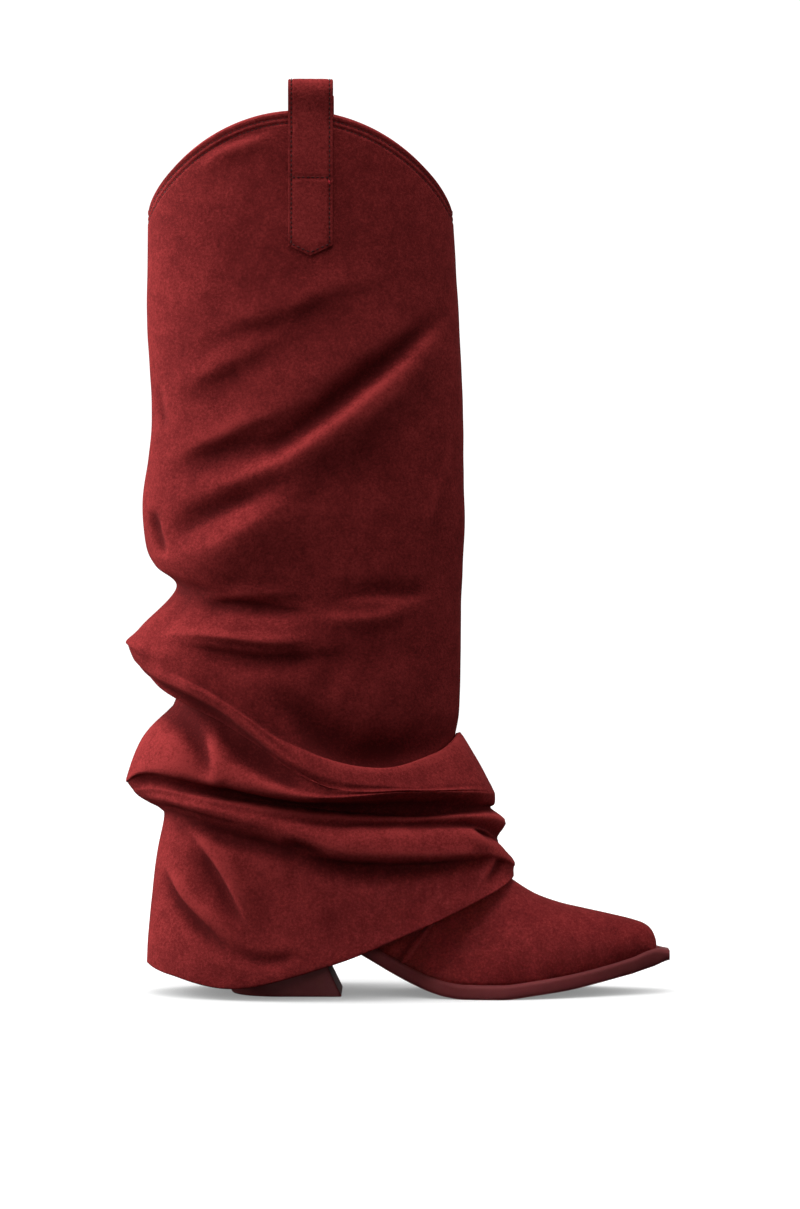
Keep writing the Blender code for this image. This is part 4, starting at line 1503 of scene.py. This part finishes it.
    def surface(self, rows: Array) -> Array:
        """Fan of sections: each is part of an oval from its top down to its low end, on both sides.

        The oval runs about the line from the top point to the low point, and is followed round until its
        half width has come back to the low half width; the sine's power makes the ridge a little peaked.

        Args:
            rows: The sections.

        Returns:
            Points as sections x columns x 3, from the outer side's low end over the top to the inner side's.
        """
        low_x, low_z, top_x, top_z, middle, half, low_half, rise = (column[:, None] for column in rows.T)
        ratio = np.minimum(1.0, low_half / half)
        sweep = math.pi - np.arcsin(ratio)
        turn = sweep * np.linspace(0.0, 1.0, self.side_points + 1)[None, :]
        down = (1.0 - np.cos(turn)) / (1.0 - np.cos(sweep))
        bow = np.abs(np.sin(turn))
        peaked = np.where(turn < QUARTER, bow ** (1.0 + (self.peak - 1.0) * ratio), bow)
        x = top_x + (low_x - top_x) * down
        z = top_z + (low_z - top_z) * down + rise * bow**self.collar_power
        reach = half * peaked
        outer = np.stack([x, middle - reach, z], axis=-1)[:, ::-1]
        inner = np.stack([x, middle + reach, z], axis=-1)[:, 1:]
        return np.concatenate([outer, inner], axis=1)

    def shell(self, name: str, near: float, far: float, finish: Finish, replaces: Sequence[str]) -> None:
        """Closed wall between two depths, joined at the feather line, the toe and the collar.

        Args:
            name: The piece's name.
            near: Depth of its outer face.
            far: Depth of its inner face.
            finish: Its finish.
            replaces: Nodes that it stands for.
        """
        rows, foot_count = self.sections()
        outer = self.surface(self.inset(rows, foot_count, near) if near else rows)
        inner = self.surface(self.inset(rows, foot_count, far))
        tone = self.shade_and_tone(*outer.shape[:2]).ravel()
        tone = np.concatenate([tone, np.zeros(len(tone))])
        new_piece(name, wall_shape(outer, inner, foot_count + 1), finish, replaces, tone)

    def build(self) -> None:
        """Suede wall and cloth lining."""
        lining = self.wall + self.lining_gap
        self.shell("foot_upper", 0.0, self.wall, SUEDE, ["upper"])
        self.shell("shaft_lining", lining, lining + self.lining_ply, CLOTH, [])


@dataclass
class PullStrap:
    """Folded pull strap over one side of the collar, its outer end cut to a point."""

    side: Side
    sleeve: Sleeve
    centre_x: float = 15.7
    width: float = 26.5
    ply: float = 1.8
    edge_round: float = 0.9
    top: float = 543.0
    point: float = 438.5
    point_rise: float = 6.0
    point_step: float = 6.5
    inner_end: float = 456.0
    upper_wall: float = 1.7
    lining_room: float = 0.9
    sleeve_gap: float = 0.3
    loop_half: float = 3.2
    loop_drop: float = 9.0
    loop_wrap: float = 0.3
    outside_drops: Triple = (50.0, 20.0, 2.0)
    inside_drops: Triple = (2.0, 16.0, 36.0)
    rows: int = 150
    columns: int = 45
    tone: float = 0.5
    groove: float = 0.55
    groove_width: float = 0.8
    box_line: float = 484.5
    stitch_row: StitchRow = StitchRow(2.8, 2.1, 0.36)
    stitch_inset: float = 2.0
    stitch_ends: Spot = (0.008, 0.985)
    stitch_point: float = 0.009
    stitch_lift: float = -0.22
    thread_row: StitchRow = StitchRow(9.0, 2.8, 0.5)
    thread_across: Spot = (-0.5, 0.3)
    thread_down: Spot = (5.4, 8.2)
    thread_lift: float = 0.1

    @cached_property
    def path(self) -> Array:
        """Outer face of the strap as height and distance from the middle plane, at even distances.

        It climbs the outside of the sleeve, stands as a drop-shaped loop and comes down inside the shaft.

        Returns:
            One row of height and distance for each stop.
        """
        edge = FOLD_RINGS[0].z_side
        z_out = np.array([self.point, self.point + self.point_step, *(edge - drop for drop in self.outside_drops)])
        rings = FOLD_RINGS[2::-1]
        half = np.interp(z_out, [ring.z_side for ring in rings], [ring.half for ring in rings])
        y_out = half + self.ply + self.sleeve_gap
        turn = np.linspace(-self.loop_wrap, math.pi + self.loop_wrap, 13)
        middle = FOLD_RINGS[0].half - 0.5 * (self.sleeve.wall + self.upper_wall)
        z_loop = self.top - self.loop_drop * (1.0 - np.sin(turn))
        y_loop = middle + (self.loop_half + self.ply) * np.cos(turn)
        z_in = np.array([*(edge - drop for drop in self.inside_drops), self.inner_end])
        y_in = np.full(len(z_in), SHAFT_RINGS[-1].half - self.upper_wall - self.lining_room - self.ply)
        rough = np.stack([np.concatenate([z_out, z_loop, z_in]), np.concatenate([y_out, y_loop, y_in])], -1)
        fine = along(rough, np.linspace(0.0, len(rough) - 1.0, 600))
        return along(fine, even_stops(fine, 400))

    @cached_property
    def length(self) -> float:
        """Length of the strap along its path."""
        return float(np.linalg.norm(np.diff(self.path, axis=0), axis=1).sum())

    def start(self, c: Array) -> Array:
        """Share of the path at which the pointed end begins, at distances across from the middle line."""
        return self.point_rise * np.abs(c) / (0.5 * self.width) / self.length

    def sheet(self, c: Array, s: Array) -> tuple[Array, Array]:
        """Points of the strap's outer face and their normals.

        Args:
            c: Distance across from the strap's middle line.
            s: Share of the path, 0 at the outer end, in the shape of c.

        Returns:
            Points and normals in the shape of c, with three coordinates.
        """
        start, last = self.start(c), len(self.path) - 1.0
        row = (start + (1.0 - start) * s) * last
        flat, ahead, behind = (
            along(self.path, np.clip(row.ravel() + step, 0.0, last)).reshape(*row.shape, 2) for step in (0.0, 0.5, -0.5)
        )
        step = unit(ahead - behind)
        collar = FOLD_RINGS[0]
        reach = 0.5 * (collar.front_x - collar.back_x)
        middle = 0.5 * (collar.front_x + collar.back_x)
        sag = collar.half * (1.0 - np.sqrt(1.0 - ((c + self.centre_x - middle) / reach) ** 2))
        sign = self.side.value
        points = np.stack([c + self.centre_x, sign * (flat[..., 1] - sag), flat[..., 0]], -1)
        return points, np.stack([np.zeros_like(c), sign * step[..., 0], -step[..., 1]], -1)

    def build(self) -> None:
        """Strap as a flat section with round edges carried along its path, grooved where it is stitched."""
        across = np.linspace(-0.5, 0.5, self.columns)[None, :] * self.width
        c, s = np.broadcast_arrays(across, np.linspace(0.0, 1.0, self.rows)[:, None])
        face, normals = self.sheet(c, s)
        margin = 0.5 * self.width - np.abs(c)
        near_edge = np.minimum(margin, np.minimum(s, 1.0 - s) * self.length)
        bend = np.clip(1.0 - near_edge / self.edge_round, 0.0, 1.0)
        round_off = 0.5 * self.ply * (1.0 - np.sqrt(1.0 - bend**2))
        run = s * self.length
        level = run + (1.0 - s) * self.point_rise * np.abs(c) / (0.5 * self.width)
        lines = (margin - self.stitch_inset, level - (self.box_line - self.point), run - self.stitch_inset)
        groove = sum(self.groove * bell(apart, self.groove_width) for apart in lines)
        front = face - normals * (round_off + groove)[..., None]
        back = face - normals * (self.ply - round_off)[..., None]
        word = self.side.name.lower()
        tone = np.full(2 * c.size, self.tone)
        new_piece(f"strap_{word}", wall_shape(front, back), SUEDE, [f"pull_strap_{word}"], tone)

    def build_stitches(self) -> None:
        """Stitches along both edges and the point, and across the strap at the box line."""
        reach = 0.5 * self.width - self.stitch_inset
        share = np.linspace(*self.stitch_ends, 200)
        across = np.linspace(-reach, reach, 30)
        start = self.start(across)
        box = ((self.box_line - self.point) / self.length - start) / (1.0 - start)
        lines = [(np.full(len(share), edge), share) for edge in (-reach, reach)]
        for ends in ((-reach, 0.0), (0.0, reach)):
            lines.append((np.linspace(*ends, 30), np.full(30, self.stitch_point)))
        lines.append((across, box))
        name = f"strap_stitches_{self.side.name.lower()}"
        self.stitch_row.lay(name, [self.sheet(c, s) for c, s in lines], self.stitch_lift, THREAD)

    def build_thread_end(self) -> None:
        """Loose bright end of the thread below the cross row, by the front edge's row."""
        c = 0.5 * self.width - self.stitch_inset + np.array(self.thread_across)
        s = (self.box_line - self.point - np.array(self.thread_down)) / self.length
        self.thread_row.lay("thread_end", [self.sheet(c, s)], self.thread_lift, BRIGHT_THREAD)


@dataclass(frozen=True)
class SoftLight:
    """A square soft light: where it stands, its side and its aim in metres, its watts and its spread."""

    name: str
    place: Triple
    size: float
    power: float
    aim: Triple = (0.01, 0.0, 0.28)
    spread: float = 180.0

    def build(self) -> None:
        """Add the light."""
        data = bpy.data.lights.new(self.name, "AREA")
        data.size = self.size
        data.energy = self.power
        data.spread = math.radians(self.spread)
        light = bpy.data.objects.new(self.name, data)
        light.location = self.place
        light.rotation_euler = (Vector(self.aim) - Vector(self.place)).to_track_quat("-Z", "Y").to_euler()
        bpy.context.scene.collection.objects.link(light)


def grey(value: float) -> Triple:
    """A grey of one value."""
    return (value, value, value)


@dataclass
class Studio:
    """White floor, soft light from the left and a level camera on the boot's outer side."""

    distance: float = 2400.0
    eye_x: float = 68.4
    eye_z: float = 270.0
    frame_high: float = 725.4
    frame_middle_z: float = 232.5
    sensor: float = 36.0
    sky: float = 0.022
    horizon: float = 0.02
    ground: float = 0.01
    lights: tuple[SoftLight, ...] = (
        SoftLight("key", (-1.6, -0.15, 0.95), 1.4, 24.0),
        SoftLight("back_left", (-1.5, 0.35, 0.8), 0.9, 23.0),
        SoftLight("high_left", (-0.9, -1.0, 1.9), 1.4, 8.0),
        SoftLight("top", (0.1, -0.35, 2.3), 1.4, 36.0),
        SoftLight("right", (1.6, 0.1, 1.0), 1.2, 6.0),
        SoftLight("bounce", (0.0, -0.65, 0.03), 0.6, 0.4),
        SoftLight("foot", (0.45, -1.6, 0.5), 0.14, 0.017, (0.12, -0.04, -0.02), 8.0),
        SoftLight("far_side", (0.4, 1.7, 0.9), 1.2, 6.0),
    )
    floor_reach: float = 0.5
    wall_reach: float = 3.2
    wall_bend: float = 0.6
    wall_high: float = 4.0
    white: Spot = (0.20, 0.22)
    glow: float = 1.1
    # Glow of the painted contact shadow where the boot is nearest, and how far that shadow reaches.
    shade: float = 0.20
    shade_reach: float = 0.12

    def build_floor(self) -> None:
        """White bowl: a floor that bends up into a wall all round; its glow is dimmed where the boot is near, a painted
        contact shadow.
        """
        bend = np.linspace(0.0, QUARTER, 16)
        rim = self.wall_reach + self.wall_bend
        reach = np.concatenate([[self.floor_reach], self.wall_reach + self.wall_bend * np.sin(bend), [rim]])[:, None]
        height = np.concatenate([[0.0], self.wall_bend * (1.0 - np.cos(bend)), [self.wall_high]])[:, None]
        turn = circle(72)[None, :]
        grid = np.stack(np.broadcast_arrays(reach * np.cos(turn), reach * np.sin(turn), height), axis=-1)
        faces = grid_quads(len(reach), turn.size, around=True).tolist() + [list(range(turn.size))]
        mesh = bpy.data.meshes.new("floor")
        mesh.from_pydata(grid.reshape(-1, 3).tolist(), [], faces)
        mesh.shade_smooth()
        floor = bpy.data.objects.new("floor", mesh)
        constants = {"Specular IOR Level": 0.0, "Roughness": 1.0, "Emission Strength": self.glow}
        shader = Shader("floor_white", constants)
        low, high = map(grey, self.white)
        shader.feed("Base Color", shader.ramp(0.5 + 0.2 * shader.noise(400.0, 2.0), ((0.0, low), (1.0, high))))
        inputs = {"Distance": self.shade_reach}
        # Ambient occlusion dims the glow near the boot: a painted contact shadow.
        near = shader.node("ShaderNodeAmbientOcclusion", {"samples": 16}, inputs, output="AO")
        shader.feed("Emission Color", shader.ramp(near, ((0.0, grey(self.shade)), (1.0, grey(1.0)))))
        mesh.materials.append(shader.material)
        floor.visible_diffuse = False
        floor.visible_glossy = False
        bpy.context.scene.collection.objects.link(floor)

    def build_lights(self) -> None:
        """Dim surround that is lighter above, and the soft lights."""
        scene = bpy.context.scene
        scene.world = bpy.data.worlds.new("surround")
        scene.world.use_nodes = True
        nodes = Nodes(scene.world.node_tree)
        way = nodes.node("ShaderNodeTexCoord", output="Generated")
        height = nodes.node("ShaderNodeSeparateXYZ", inputs={0: way}, output="Z")
        stops = ((0.0, grey(self.ground)), (1.0, grey(self.sky)), (0.5, grey(self.horizon)))
        tone = nodes.ramp(0.5 + 0.5 * height, stops)
        nodes.tree.links.new(tone.socket, nodes.tree.nodes["Background"].inputs["Color"])
        for light in self.lights:
            light.build()
        scene.view_settings.view_transform = "Standard"

    def build_camera(self) -> None:
        """Level camera; the lens fits the frame's height and the shift sets its middle."""
        data = bpy.data.cameras.new("camera")
        data.sensor_width = self.sensor
        data.lens = self.sensor * self.distance / self.frame_high
        data.shift_y = (self.frame_middle_z - self.eye_z) / self.frame_high
        camera = bpy.data.objects.new("camera", data)
        camera.location = (self.eye_x * MM, -self.distance * MM, self.eye_z * MM)
        camera.rotation_euler = (QUARTER, 0.0, 0.0)
        bpy.context.scene.collection.objects.link(camera)
        bpy.context.scene.camera = camera


def main() -> None:
    """Build and dress the boot, piece by piece, and set up the studio."""
    logging.basicConfig(level=logging.INFO, format="%(name)s %(message)s")
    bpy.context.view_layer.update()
    studio = Studio()
    studio.build_camera()
    studio.build_floor()
    studio.build_lights()
    sole = Sole()
    sole.build_outsole()
    sole.build_heel()
    sole.build_insole()
    Upper(sole).build()
    sleeve = Sleeve()
    sleeve.build()
    outer, inner = PullStrap(Side.OUTER, sleeve), PullStrap(Side.INNER, sleeve, centre_x=14.8)
    outer.build()
    outer.build_stitches()
    outer.build_thread_end()
    inner.build()
    inner.build_stitches()
    sleeve.build_stitches()


if __name__ == "__main__":
    main()
